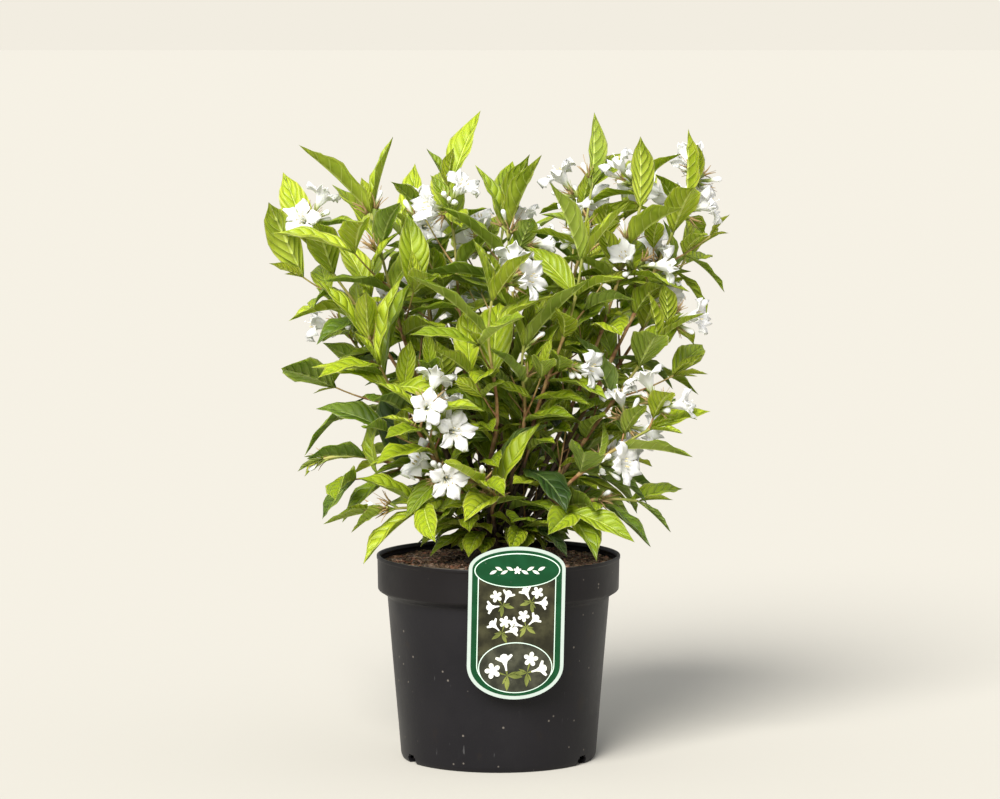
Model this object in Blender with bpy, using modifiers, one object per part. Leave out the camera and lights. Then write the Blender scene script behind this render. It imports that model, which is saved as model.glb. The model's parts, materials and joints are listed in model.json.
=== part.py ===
"""A white-flowered weigela in its nursery pot, as separate closed solids.

The pot stands on the ground plane with its axis on Z. Its soil carries a short woody foot, from which
twenty-seven stems fan out. The bare lower part of each stem is a bough. Above it the same stem carries on
as a mass of foliage: a twig with opposite pairs of leaves, side twigs and trumpet-shaped blooms.
A plant label hangs over the rim in front.
"""

import math
import random
from collections import namedtuple

import bmesh
import bpy
from mathutils import Vector
from mathutils.bvhtree import BVHTree

# Clearance between solids that touch on the real plant, and the threshold for merging points
GAP = 0.0003
MERGE = 0.00001

# Nursery pot
POT_HEIGHT = 0.159
RIM_RADIUS = 0.095
RIM_FOOT_RADIUS = 0.0940
RIM_DEPTH = 0.027
LIP = 0.0012
SHOULDER_RADIUS = 0.0866
SHOULDER_DROP = 0.0085
BASE_RADIUS = 0.0762
BASE_EDGE = 0.003
WALL = 0.0016
FLOOR = 0.0025
POT_STEPS = 40
NOTCH_COUNT = 3
NOTCH_WIDTH = 0.012
NOTCH_HEIGHT = 0.007
NOTCH_DEPTH = 0.007
NOTCH_BEARING = 88.0

# Soil
SOIL_EDGE = POT_HEIGHT - 0.008
SOIL_CROWN = 0.002
SOIL_KNEE = 0.6
SOIL_KNEE_SHARE = 0.7
SOIL_STEPS = 24

# Woody foot that all stems rise from, with shares of its height and how far it swells there
FOOT_HEIGHT = 0.013
FOOT_RADIUS = 0.0175
FOOT_FLARE = 0.027
FOOT_SWELLS = ((0.75, 0.0015), (0.35, 0.0030))
FOOT_STEPS = 16

# Plant label, a flat plate with a hook behind it
LABEL_WIDTH = 0.074
LABEL_HEIGHT = 0.117
LABEL_TOP_ARCH = 0.017
LABEL_FOOT_ARCH = 0.026
LABEL_THICKNESS = 0.0009
LABEL_RISE = 0.018
LABEL_BEARING = -81.5
LABEL_TILT = 1.4
LABEL_TURN = -1.0
LABEL_ARC_POINTS = 14
HOOK_WIDTH = 0.020
HOOK_DROP = 0.006

# Stems: radii at the foot, where the foliage starts and at the tip; rings of the foot they start on
STEM_FOOT_RADIUS = 0.0024
STEM_LEAFY_RADIUS = 0.0018
STEM_TIP_RADIUS = 0.0009
STEM_SWAY = 0.004
SWAY_WAVES = 1.5
SWAY_EASE = 2.2
AXIS_STEPS = 60
OUTER_RING = 0.0150
MIDDLE_RING = 0.0096
INNER_RING = 0.0040
BOUGH_POINTS = 4
STEM_RINGS = 10
TWIG_SIDES = 3

# Leaves by their rank below the tip: length, width and fold, then how they stand off and droop
LEAF_LENGTHS = (0.076, 0.076, 0.074, 0.072, 0.069, 0.066)
LEAF_WIDTHS = (0.37, 0.40, 0.43, 0.45, 0.48, 0.50)
LEAF_FOLDS = (40.0, 33.0, 27.0, 23.0, 19.0, 16.0)
LEAF_ANGLES = (24.0, 38.0, 50.0, 57.0, 62.0, 66.0)
LEAF_DROOPS = (14.0, 26.0, 36.0, 42.0, 47.0, 50.0)
LEAF_THICKNESS_SHARE = 0.014
LEAF_ROOT_DEPTH = 0.0001
LEAF_MIDDLE = 0.42
LEAF_FULLEST = 0.75
LEAF_SLIMNESS = 1.15
LARGE_EDGE = (0.26, 0.64)
SMALL_EDGE = (0.40,)
FACE_UP = 0.8
FACE_AHEAD = 0.7
INTERNODES = (0.028, 0.034, 0.036, 0.037, 0.038)
FIRST_NODE = 0.006
LOWEST_NODE = 0.008

# How often a leaf, twig or bloom is tried, how loosely at first and by each try, and how it shrinks
TRIES = 9
LEAF_LOOSE = (6, 5)
TWIG_LOOSE = (0.10, 0.07)
BLOOM_LOOSE = (0.15, 0.10)
SHRINK = 0.04

# Side twigs in the leaf axils
AXIL_RISE = 0.004
AXIL_ANGLE = 42.0
AXIL_TWIG_LENGTH = 0.046
AXIL_TWIG_RADIUS = 0.0009
END_DEPTH = 0.001
TWIG_LIFT = 0.16
TWIG_TAPER = 0.18
END_RANK = 1
MIDDLE_RANK = 3
MIDDLE_SCALE = 0.88

# Blooms: a five-lobed trumpet, with shares of its length and of half its mouth
BLOOM_TWIG_LENGTH = 0.018
BLOOM_TWIG_ANGLE = 50.0
BLOOMS_EACH = 2
BLOOM_ANGLE = 34.0
BLOOM_ANGLE_STEP = 20.0
BLOOM_NOD = 0.10
BLOOM_STEP = 0.004
BLOOM_LENGTH = 0.030
BLOOM_MOUTH = 0.030
BLOOM_ROOT_RADIUS = 0.0012
LOBE_TIP = 0.94
LOBE_NOTCH = 0.86
NOTCH_RADIUS = 0.52
THROAT = 0.45
UNDER_RANK = 2
UNDER_SCALE = 0.66

# Room that the crown keeps to: its top, its radius by height, each mass's reach and the floor under it
CROWN_TOP = 0.514
CROWN_PROFILE = (
    (0.150, 0.140), (0.20, 0.150), (0.26, 0.168), (0.36, 0.176), (0.42, 0.181), (0.47, 0.172), (0.514, 0.150)
)
MASS_REACH = 0.080
REACH_SAMPLES = 12
FLOOR_INSIDE = SOIL_EDGE + 0.006
FLOOR_OUTSIDE = POT_HEIGHT + 0.002
FLOOR_RAMP = (0.040, 0.070)
LABEL_ROOM = 0.005
LABEL_FRONT = -0.076

# Each stem: bearing of its tip in plan, its spread and height, its elbow as shares of both, the ring of
# the foot it starts on, the bare share of its length, the roll of its top pair of leaves, the ranks of
# the leaf nodes that carry blooms, counted from the tip, and how many nodes carry leafy side twigs
Stem = namedtuple("Stem", "name bearing spread height out up ring bare roll blooms sides")
STEMS = (
    Stem("left_tall", 191, 0.101, 0.430, 0.62, 0.42, MIDDLE_RING, 0.20, 85, (), 2),
    Stem("left_far", 176, 0.150, 0.402, 0.42, 0.58, MIDDLE_RING, 0.20, 40, (0,), 2),
    Stem("left_mid", 205, 0.112, 0.330, 0.55, 0.55, OUTER_RING, 0.20, 10, (), 2),
    Stem("left_low", 184, 0.136, 0.234, 0.45, 1.20, OUTER_RING, 0.18, 80, (), 1),
    Stem("front_left", 234, 0.106, 0.268, 0.50, 0.60, OUTER_RING, 0.14, 40, (0, 1, 2), 1),
    Stem("front_left_low", 216, 0.108, 0.200, 0.45, 1.20, OUTER_RING, 0.16, 10, (), 1),
    Stem("top_left", 152, 0.046, 0.444, 0.60, 0.45, INNER_RING, 0.16, 65, (1,), 2),
    Stem("top_middle", 300, 0.020, 0.418, 0.60, 0.45, INNER_RING, 0.13, 30, (1,), 2),
    Stem("top_right", 16, 0.076, 0.450, 0.60, 0.45, INNER_RING, 0.16, 70, (1,), 2),
    Stem("right_top", 350, 0.112, 0.434, 0.62, 0.44, MIDDLE_RING, 0.20, 60, (0, 2), 1),
    Stem("right_tall", 357, 0.148, 0.440, 0.60, 0.52, MIDDLE_RING, 0.20, 80, (0, 1), 2),
    Stem("right_high", 14, 0.152, 0.390, 0.52, 0.50, MIDDLE_RING, 0.20, 30, (1,), 2),
    Stem("right_mid", 347, 0.130, 0.334, 0.52, 0.56, OUTER_RING, 0.20, 75, (0,), 2),
    Stem("right_low", 335, 0.128, 0.262, 0.50, 0.70, OUTER_RING, 0.16, 20, (0, 1, 2), 1),
    Stem("right_foot", 347, 0.110, 0.203, 0.45, 1.20, OUTER_RING, 0.20, 0, (), 1),
    Stem("front_middle", 292, 0.062, 0.330, 0.50, 0.52, OUTER_RING, 0.12, 45, (), 2),
    Stem("front_right", 315, 0.090, 0.396, 0.58, 0.46, MIDDLE_RING, 0.13, 10, (0, 3), 2),
    Stem("front_high", 268, 0.082, 0.366, 0.58, 0.48, MIDDLE_RING, 0.12, 80, (0,), 2),
    Stem("front_low", 262, 0.074, 0.222, 0.50, 0.90, OUTER_RING, 0.12, 30, (), 1),
    Stem("back_left_tall", 133, 0.104, 0.398, 0.60, 0.46, MIDDLE_RING, 0.22, 25, (0, 2), 1),
    Stem("back_middle", 88, 0.094, 0.412, 0.60, 0.46, INNER_RING, 0.18, 55, (1,), 2),
    Stem("back_right_tall", 48, 0.114, 0.396, 0.60, 0.46, MIDDLE_RING, 0.22, 5, (0, 2), 1),
    Stem("back_left_mid", 150, 0.136, 0.320, 0.52, 0.56, OUTER_RING, 0.22, 65, (0,), 2),
    Stem("back_mid", 104, 0.136, 0.330, 0.52, 0.56, OUTER_RING, 0.22, 35, (0, 1), 1),
    Stem("back_right_mid", 66, 0.138, 0.310, 0.52, 0.56, OUTER_RING, 0.22, 15, (0,), 2),
    Stem("back_left_low", 121, 0.120, 0.226, 0.50, 1.00, OUTER_RING, 0.20, 85, (), 1),
    Stem("back_right_low", 34, 0.124, 0.226, 0.50, 1.00, OUTER_RING, 0.20, 45, (1,), 1),
)
Leaf = namedtuple("Leaf", "root along face length width droop fold edge")
Bloom = namedtuple("Bloom", "root along side length mouth")
Twig = namedtuple("Twig", "points radii")


def clear_scene():
    """Removes whatever the scene holds."""
    for item in list(bpy.data.objects):
        bpy.data.objects.remove(item, do_unlink=True)


def material(name, colour, roughness):
    """A Principled material of one colour."""
    made = bpy.data.materials.new(name)
    made.use_nodes = True
    shader = made.node_tree.nodes["Principled BSDF"]
    shader.inputs["Base Color"].default_value = (*colour, 1.0)
    shader.inputs["Roughness"].default_value = roughness
    shader.inputs["Metallic"].default_value = 0.0
    return made


def collection(name):
    """A new collection in the scene."""
    made = bpy.data.collections.new(name)
    bpy.context.scene.collection.children.link(made)
    return made


def add_object(name, data, home, finish=None):
    """An object of the given mesh or curve in a collection."""
    made = bpy.data.objects.new(name, data)
    home.objects.link(made)
    if finish:
        data.materials.append(finish)
    return made


def mesh_from(name, verts, faces):
    """A mesh of the given points and faces."""
    made = bpy.data.meshes.new(name)
    made.from_pydata([tuple(v) for v in verts], [], faces)
    made.validate()
    return made


def turned(name, profile, steps, home, finish):
    """A solid of revolution: a profile of (radius, height) points with a Screw modifier."""
    verts = [(radius, 0.0, height) for radius, height in profile]
    edges = [(i, i + 1) for i in range(len(verts) - 1)]
    mesh = bpy.data.meshes.new(name)
    mesh.from_pydata(verts, edges, [])
    made = add_object(name, mesh, home, finish)
    screw = made.modifiers.new("turn", "SCREW")
    screw.steps = steps
    screw.render_steps = steps
    screw.use_merge_vertices = True
    screw.merge_threshold = MERGE
    screw.use_smooth_shade = True
    return made


def wall_radius(height):
    """Outer radius of the pot's body at a height below its shoulder."""
    top = POT_HEIGHT - RIM_DEPTH - SHOULDER_DROP
    share = (height - BASE_EDGE) / (top - BASE_EDGE)
    return BASE_RADIUS + (SHOULDER_RADIUS - BASE_RADIUS) * share


def make_pot(home, cutters, finish):
    """The pot: a rim band, a sloping shoulder and a tapering wall, with notches round its foot."""
    rim_foot = POT_HEIGHT - RIM_DEPTH
    shoulder = rim_foot - SHOULDER_DROP
    profile = (
        (0.0, FLOOR),
        (wall_radius(FLOOR) - WALL, FLOOR),
        (SHOULDER_RADIUS - WALL, shoulder + WALL),
        (RIM_FOOT_RADIUS - WALL, rim_foot + WALL),
        (RIM_RADIUS - WALL - LIP, POT_HEIGHT - LIP),
        (RIM_RADIUS - WALL, POT_HEIGHT),
        (RIM_RADIUS - LIP, POT_HEIGHT),
        (RIM_RADIUS, POT_HEIGHT - LIP),
        (RIM_FOOT_RADIUS, rim_foot),
        (SHOULDER_RADIUS, shoulder),
        (BASE_RADIUS, BASE_EDGE),
        (BASE_RADIUS - BASE_EDGE / 2, 0.0),
        (0.0, 0.0),
    )
    pot = turned("pot", profile, POT_STEPS, home, finish)
    for i in range(NOTCH_COUNT):
        angle = math.radians(NOTCH_BEARING + 360.0 * i / NOTCH_COUNT)
        bpy.ops.mesh.primitive_cube_add(size=1.0)
        box = bpy.context.object
        box.name = f"notch_cutter_{i + 1}"
        box.scale = (2 * NOTCH_DEPTH, NOTCH_WIDTH, 2 * NOTCH_HEIGHT)
        box.rotation_euler = (0.0, 0.0, angle)
        box.location = (BASE_RADIUS * math.cos(angle), BASE_RADIUS * math.sin(angle), 0.0)
        box.hide_render = True
        box.display_type = "WIRE"
        for old in list(box.users_collection):
            old.objects.unlink(box)
        cutters.objects.link(box)
    cut = pot.modifiers.new("notches", "BOOLEAN")
    cut.operation = "DIFFERENCE"
    cut.operand_type = "COLLECTION"
    cut.collection = cutters
    return pot


def make_soil(home, finish):
    """The root ball: it fills the pot to a little under the rim, with its middle slightly raised."""
    rim_foot = POT_HEIGHT - RIM_DEPTH
    shoulder = rim_foot - SHOULDER_DROP
    inset = WALL + 2 * GAP
    low = NOTCH_HEIGHT + GAP
    profile = (
        (0.0, SOIL_EDGE + SOIL_CROWN),
        (SOIL_KNEE * RIM_FOOT_RADIUS, SOIL_EDGE + SOIL_KNEE_SHARE * SOIL_CROWN),
        (RIM_FOOT_RADIUS - inset, SOIL_EDGE),
        (RIM_FOOT_RADIUS - inset, rim_foot + WALL + GAP),
        (SHOULDER_RADIUS - inset, shoulder + WALL),
        (wall_radius(low) - inset, low),
        (BASE_RADIUS - NOTCH_DEPTH - inset, low),
        (BASE_RADIUS - NOTCH_DEPTH - inset, FLOOR + GAP),
        (0.0, FLOOR + GAP),
    )
    return turned("soil", profile, SOIL_STEPS, home, finish)


def make_foot(home, finish):
    """The woody foot: flared at the ground, where it is cut flat, with a level top for the stems."""
    ground = SOIL_EDGE + SOIL_CROWN + GAP
    profile = (
        (0.0, ground + FOOT_HEIGHT),
        (FOOT_RADIUS, ground + FOOT_HEIGHT),
        *((FOOT_RADIUS + swell, ground + share * FOOT_HEIGHT) for share, swell in FOOT_SWELLS),
        (FOOT_FLARE, ground),
        (0.0, ground),
    )
    return turned("stem_foot", profile, FOOT_STEPS, home, finish)


def solid_from_curve(name, made, home):
    """A mesh object of a curve, with its caps welded; the curve is removed."""
    bpy.context.view_layer.update()
    evaluated = made.evaluated_get(bpy.context.evaluated_depsgraph_get())
    mesh = bpy.data.meshes.new_from_object(evaluated)
    shape = bmesh.new()
    shape.from_mesh(mesh)
    bmesh.ops.remove_doubles(shape, verts=shape.verts, dist=MERGE)
    shape.to_mesh(mesh)
    shape.free()
    solid = add_object(name, mesh, home)
    solid.matrix_world = made.matrix_world
    bpy.data.objects.remove(made, do_unlink=True)
    return solid


def flat_plate(name, outline, thickness, home, turn, place):
    """A plate of a closed flat outline, turned and placed."""
    curve = bpy.data.curves.new(name, "CURVE")
    curve.dimensions = "2D"
    curve.fill_mode = "BOTH"
    curve.extrude = thickness / 2
    spline = curve.splines.new("POLY")
    spline.points.add(len(outline) - 1)
    for point, (x, y) in zip(spline.points, outline):
        point.co = (x, y, 0.0, 1.0)
    spline.use_cyclic_u = True
    made = add_object(name, curve, home)
    made.rotation_euler = turn
    made.location = place
    return solid_from_curve(name, made, home)


def label_outline():
    """The label's outline: straight sides between a shallow arch above and a deeper one below."""
    half = LABEL_WIDTH / 2
    top = LABEL_RISE - LABEL_TOP_ARCH
    foot = LABEL_RISE - LABEL_HEIGHT + LABEL_FOOT_ARCH
    points = []
    for i in range(LABEL_ARC_POINTS + 1):
        angle = math.pi * i / LABEL_ARC_POINTS
        points.append((half * math.cos(angle), top + LABEL_TOP_ARCH * math.sin(angle)))
    for i in range(LABEL_ARC_POINTS + 1):
        angle = math.pi * i / LABEL_ARC_POINTS
        points.append((-half * math.cos(angle), foot - LABEL_FOOT_ARCH * math.sin(angle)))
    cosine = math.cos(math.radians(LABEL_TURN))
    sine = math.sin(math.radians(LABEL_TURN))
    return [(x * cosine - y * sine, x * sine + y * cosine) for x, y in points]


def make_label(home, finish):
    """The label: a flat plate in front of the rim, with a hook that hangs over the rim behind it."""
    upright = math.pi / 2
    plate_back = RIM_RADIUS + GAP
    plate = flat_plate(
        "label", label_outline(), LABEL_THICKNESS, home,
        (upright + math.radians(LABEL_TILT), 0.0, 0.0),
        (0.0, -plate_back - LABEL_THICKNESS / 2, POT_HEIGHT),
    )
    facet = (RIM_RADIUS - WALL - LIP) * math.cos(math.pi / POT_STEPS)
    inner = math.sqrt(facet**2 - (HOOK_WIDTH / 2) ** 2) - GAP
    thick = LABEL_THICKNESS
    seat = POT_HEIGHT + GAP
    hook_profile = [
        (-plate_back - thick / 2, seat),
        (-inner, seat),
        (-inner, POT_HEIGHT - HOOK_DROP),
        (-inner + thick, POT_HEIGHT - HOOK_DROP),
        (-inner + thick, seat + thick),
        (-plate_back - thick / 2, seat + thick),
    ]
    hook = flat_plate(
        "label_hook", hook_profile, HOOK_WIDTH, home, (upright, 0.0, upright), (0.0, 0.0, 0.0)
    )
    join = plate.modifiers.new("hook", "BOOLEAN")
    join.operation = "UNION"
    join.object = hook
    bpy.context.view_layer.update()
    evaluated = plate.evaluated_get(bpy.context.evaluated_depsgraph_get())
    mesh = bpy.data.meshes.new_from_object(evaluated)
    mesh.transform(plate.matrix_world)
    for used in (plate, hook):
        bpy.data.objects.remove(used, do_unlink=True)
    label = add_object("label", mesh, home, finish)
    label.rotation_euler = (0.0, 0.0, math.radians(LABEL_BEARING + 90.0))
    return label


def plan(bearing, distance):
    """A point of the ground plane at a bearing in degrees and a distance from the axis."""
    angle = math.radians(bearing)
    return Vector((distance * math.cos(angle), distance * math.sin(angle), 0.0))


def root_bearings():
    """Where on its ring each stem starts: evenly spaced, in the order of the tips' bearings."""
    found = {}
    for ring in (OUTER_RING, MIDDLE_RING, INNER_RING):
        names = [s.name for s in sorted(STEMS, key=lambda s: s.bearing % 360) if s.ring == ring]
        first = min(s.bearing % 360 for s in STEMS if s.ring == ring)
        for rank, name in enumerate(names):
            found[name] = first + 360.0 * rank / len(names)
    return found


class Axis:
    """The centre line of one stem, from the foot's top through its elbow to its tip."""

    def __init__(self, stem, root_bearing):
        self.stem = stem
        top = SOIL_EDGE + SOIL_CROWN + GAP + FOOT_HEIGHT
        tip = plan(stem.bearing, stem.spread)
        root = plan(root_bearing, stem.ring)
        self.tip = tip + Vector((0, 0, stem.height))
        toward = (tip - root) * stem.out + Vector((0, 0, (stem.height - top) * stem.up))
        lean = math.hypot(toward.x, toward.y) / toward.length
        self.root = root + Vector((0, 0, top + GAP + STEM_FOOT_RADIUS * lean))
        self.elbow = self.root + toward
        draw = random.Random(stem.name)
        self.phase = draw.uniform(0, 2 * math.pi)
        turn = math.radians(stem.bearing)
        self.aside = Vector((-math.sin(turn), math.cos(turn), 0))
        self.table = [0.0]
        last = self.curve(0.0)
        for i in range(1, AXIS_STEPS + 1):
            here = self.curve(i / AXIS_STEPS)
            self.table.append(self.table[-1] + (here - last).length)
            last = here
        self.length = self.table[-1]

    def curve(self, t):
        """A point by the curve's own parameter, with a slight sway to the side."""
        s = 1.0 - t
        point = self.root * s * s + self.elbow * (2 * s * t) + self.tip * t * t
        wave = math.sin(2 * math.pi * SWAY_WAVES * t + self.phase)
        sway = STEM_SWAY * wave * min(1.0, SWAY_EASE * t) ** 3
        return point + self.aside * sway

    def at(self, distance):
        """A point by its distance along the stem."""
        distance = max(0.0, min(distance, self.length))
        for i in range(AXIS_STEPS):
            if self.table[i + 1] >= distance:
                span = self.table[i + 1] - self.table[i]
                share = (distance - self.table[i]) / span if span > 0 else 0.0
                return self.curve((i + share) / AXIS_STEPS)
        return self.curve(1.0)

    def tangent(self, distance):
        """The stem's direction at a distance along it."""
        step = 0.002
        ahead = self.at(min(distance + step, self.length))
        behind = self.at(max(distance - step, 0.0))
        return (ahead - behind).normalized()

    def radius(self, distance):
        """The stem's radius: it tapers to where the foliage starts, and from there to its tip."""
        bare = self.stem.bare * self.length
        if distance <= bare:
            return STEM_FOOT_RADIUS + (STEM_LEAFY_RADIUS - STEM_FOOT_RADIUS) * distance / bare
        share = (distance - bare) / (self.length - bare)
        return STEM_LEAFY_RADIUS + (STEM_TIP_RADIUS - STEM_LEAFY_RADIUS) * share

    def nodes(self):
        """Distances of the leaf nodes, from the tip down to where the bare part starts."""
        found = []
        distance = self.length - FIRST_NODE
        while distance >= self.stem.bare * self.length + LOWEST_NODE:
            found.append(distance)
            distance -= INTERNODES[min(len(found), len(INTERNODES)) - 1]
        return found

    def side_ranks(self):
        """Ranks of the leaf nodes with leafy side twigs: the highest of those that carry no blooms."""
        free = [k for k in range(2, len(self.nodes())) if k not in self.stem.blooms]
        return free[:self.stem.sides]


def loft(points, radii, sides):
    """A closed tapering tube with flat ends, as points and faces."""
    verts = []
    side = (points[1] - points[0]).orthogonal().normalized()
    for i, (point, radius) in enumerate(zip(points, radii)):
        tangent = (points[min(i + 1, len(points) - 1)] - points[max(i - 1, 0)]).normalized()
        side = (side - tangent * side.dot(tangent)).normalized()
        other = tangent.cross(side)
        for j in range(sides):
            angle = 2 * math.pi * j / sides
            verts.append(point + (side * math.cos(angle) + other * math.sin(angle)) * radius)
    faces = []
    for i in range(len(points) - 1):
        for j in range(sides):
            a = i * sides + j
            b = i * sides + (j + 1) % sides
            faces.append((a, b, b + sides, a + sides))
    faces.append(tuple(reversed(range(sides))))
    faces.append(tuple(range((len(points) - 1) * sides, len(points) * sides)))
    return verts, faces


def leaf_profile(u):
    """Half width of a leaf as a share of its greatest, from its foot, 0, to its long tip, 1."""
    return math.sin(math.pi * u**LEAF_FULLEST) ** LEAF_SLIMNESS


def leaf_point(leaf, u, v, width):
    """A point of a leaf's surface: u along it, v across it from -1 to 1. Returns it and its normal."""
    bend = math.radians(leaf.droop) * u
    arc = leaf.length * u
    if leaf.droop:
        turn_radius = leaf.length / math.radians(leaf.droop)
        ahead = turn_radius * math.sin(bend)
        drop = turn_radius * (1.0 - math.cos(bend))
    else:
        ahead, drop = arc, 0.0
    normal = leaf.face * math.cos(bend) + leaf.along * math.sin(bend)
    side = leaf.face.cross(leaf.along)
    fold = math.radians(leaf.fold)
    half = width / 2 * leaf_profile(u) if 0.0 < u < 1.0 else 0.0
    point = leaf.root + leaf.along * ahead - leaf.face * drop
    point = point + (side * (v * math.cos(fold)) + normal * (abs(v) * math.sin(fold))) * half
    return point, normal


def leaf_solid(leaf, grow=0.0):
    """A thin folded leaf of eight or twelve faces; grow thickens and widens it, to test its clearance."""
    width = leaf.length * leaf.width + 2 * grow
    thick = leaf.length * LEAF_THICKNESS_SHARE + 2 * grow
    centre, normal = leaf_point(leaf, LEAF_MIDDLE, 0.0, width)
    left = [leaf_point(leaf, u, -1.0, width)[0] for u in leaf.edge]
    right = [leaf_point(leaf, u, 1.0, width)[0] for u in leaf.edge]
    root = leaf.root - leaf.along * (LEAF_ROOT_DEPTH + grow)
    tip = leaf_point(leaf, 1.0, 0.0, width)[0] + leaf.along * grow
    verts = [root] + left + [tip] + right[::-1]
    rim = len(verts)
    verts += [centre + normal * (thick / 2), centre - normal * (thick / 2)]
    faces = []
    for i in range(rim):
        j = (i + 1) % rim
        faces.append((rim, i, j))
        faces.append((rim + 1, j, i))
    return verts, faces


def bloom_solid(bloom, grow=0.0):
    """A five-lobed trumpet with a hollow mouth; grow widens it, to test its clearance."""
    lobes = 5
    other = bloom.along.cross(bloom.side)

    def ring(share, radius, half_step):
        found = []
        for i in range(lobes):
            angle = 2 * math.pi * (i + half_step) / lobes
            out = bloom.side * math.cos(angle) + other * math.sin(angle)
            found.append(bloom.root + bloom.along * (share * bloom.length) + out * (radius + grow))
        return found

    half = bloom.mouth / 2
    verts = ring(0.0, BLOOM_ROOT_RADIUS, 0.0)
    verts += ring(LOBE_TIP, half, 0.0)
    verts += ring(LOBE_NOTCH, half * NOTCH_RADIUS, 0.5)
    verts.append(bloom.root + bloom.along * (THROAT * bloom.length))
    root, tip, notch, centre = 0, lobes, 2 * lobes, 3 * lobes
    faces = [tuple(reversed(range(lobes)))]
    for i in range(lobes):
        j = (i + 1) % lobes
        faces.append((root + i, root + j, notch + i))
        faces.append((root + i, notch + i, tip + i))
        faces.append((root + j, tip + j, notch + i))
        faces.append((tip + i, notch + i, centre))
        faces.append((notch + i, tip + j, centre))
    return verts, faces


def twig_solid(twig, grow=0.0):
    """A three-sided tapering twig; grow thickens it, to test its clearance."""
    return loft(twig.points, [radius + grow for radius in twig.radii], TWIG_SIDES)


CELL = 0.030


def span(verts):
    """Lowest and highest corner of a box round some points."""
    low = [min(v[i] for v in verts) for i in range(3)]
    high = [max(v[i] for v in verts) for i in range(3)]
    return low, high


class Crown:
    """Everything that grows, with a test that keeps each new leaf, twig and bloom clear of the rest."""

    def __init__(self):
        self.solids = []
        self.cells = {}
        self.grown = []

    def cells_of(self, low, high):
        """The cells of a coarse grid that a box reaches into."""
        reach = [range(math.floor(a / CELL), math.floor(b / CELL) + 1) for a, b in zip(low, high)]
        return [(i, j, k) for i in reach[0] for j in reach[1] for k in reach[2]]

    def keep(self, verts, faces):
        """Notes a solid that later ones must stay clear of, and returns its number."""
        low, high = span(verts)
        self.solids.append((BVHTree.FromPolygons(verts, faces), low, high))
        number = len(self.solids) - 1
        for cell in self.cells_of(low, high):
            self.cells.setdefault(cell, []).append(number)
        return number

    def clear(self, verts, faces, touching):
        """Whether a solid meets none of those kept, apart from the ones it grows from."""
        low, high = span(verts)
        near = set()
        for cell in self.cells_of(low, high):
            near.update(self.cells.get(cell, ()))
        tree = None
        for number in sorted(near - touching):
            other, other_low, other_high = self.solids[number]
            if any(low[i] > other_high[i] or high[i] < other_low[i] for i in range(3)):
                continue
            if tree is None:
                tree = BVHTree.FromPolygons(verts, faces)
            if tree.overlap(other):
                return False
        return True


def crown_radius(height):
    """Greatest distance from the axis that the crown reaches at a height."""
    low = CROWN_PROFILE[0]
    for high in CROWN_PROFILE[1:]:
        if height <= high[0]:
            share = max(0.0, (height - low[0]) / (high[0] - low[0]))
            return low[1] + (high[1] - low[1]) * share
        low = high
    return 0.0


def in_room(points, axis):
    """Whether points keep to the mass's own reach, inside the crown and off the pot and label."""
    label_x = RIM_RADIUS * math.cos(math.radians(LABEL_BEARING))
    for p in points:
        out = math.hypot(p.x, p.y)
        share = (out - FLOOR_RAMP[0]) / (FLOOR_RAMP[1] - FLOOR_RAMP[0])
        floor = FLOOR_INSIDE + (FLOOR_OUTSIDE - FLOOR_INSIDE) * max(0.0, min(1.0, share))
        if p.z < floor or p.z > CROWN_TOP or out > crown_radius(p.z):
            return False
        beside_label = abs(p.x - label_x) < LABEL_WIDTH / 2 + LABEL_ROOM
        if beside_label and p.y < LABEL_FRONT and p.z < POT_HEIGHT + LABEL_RISE + LABEL_ROOM:
            return False
    middle = points[len(points) // 2]
    stops = [axis.length * i / REACH_SAMPLES for i in range(3, REACH_SAMPLES + 1)]
    nearest = min((axis.at(stop) - middle).length for stop in stops)
    return nearest < MASS_REACH


def fork(tangent, roll, angle):
    """A direction that leaves a stem at an angle, turned about it by roll, both in degrees."""
    up = Vector((0, 0, 1))
    side = tangent.cross(up)
    if side.length < 0.1:
        side = Vector((1, 0, 0)) - tangent * tangent.x
    side.normalize()
    other = side.cross(tangent)
    out = side * math.cos(math.radians(roll)) + other * math.sin(math.radians(roll))
    return (tangent * math.cos(math.radians(angle)) + out * math.sin(math.radians(angle))).normalized()


def try_leaf(crown, axis, key, root, tangent, roll, rank, touching, scale):
    """Grows one leaf, turned a little or made smaller until it fits; returns its number or None."""
    draw = random.Random(f"{axis.stem.name} leaf {key}")
    rank = min(rank, len(LEAF_LENGTHS) - 1)
    base_length = LEAF_LENGTHS[rank] * scale * draw.uniform(0.74, 1.10)
    edge = LARGE_EDGE if scale == 1.0 else SMALL_EDGE
    for attempt in range(TRIES):
        loose = LEAF_LOOSE[0] + LEAF_LOOSE[1] * attempt
        angle = LEAF_ANGLES[rank] + draw.uniform(-loose, loose) * 0.6
        along = fork(tangent, roll + draw.uniform(-loose, loose), angle)
        face = Vector((0, 0, 1)) * FACE_UP + tangent * FACE_AHEAD
        face = face - along * face.dot(along)
        if face.length < 0.15:
            face = tangent - along * tangent.dot(along)
        face.normalize()
        twist = math.radians(draw.uniform(-loose, loose) * 1.1)
        face = (face * math.cos(twist) + along.cross(face) * math.sin(twist)).normalized()
        droop = LEAF_DROOPS[rank] * draw.uniform(0.6, 1.3)
        width = LEAF_WIDTHS[rank] * draw.uniform(0.9, 1.08)
        fold = LEAF_FOLDS[rank] * draw.uniform(0.7, 1.3)
        length = base_length * (1.0 - SHRINK * attempt)
        leaf = Leaf(root, along, face, length, width, droop, fold, edge)
        verts, faces = leaf_solid(leaf, GAP)
        if in_room(verts[1:], axis) and crown.clear(verts, faces, touching):
            number = crown.keep(*leaf_solid(leaf))
            crown.grown.append(("leaf", leaf, rank, axis, number))
            return number
    return None


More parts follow.
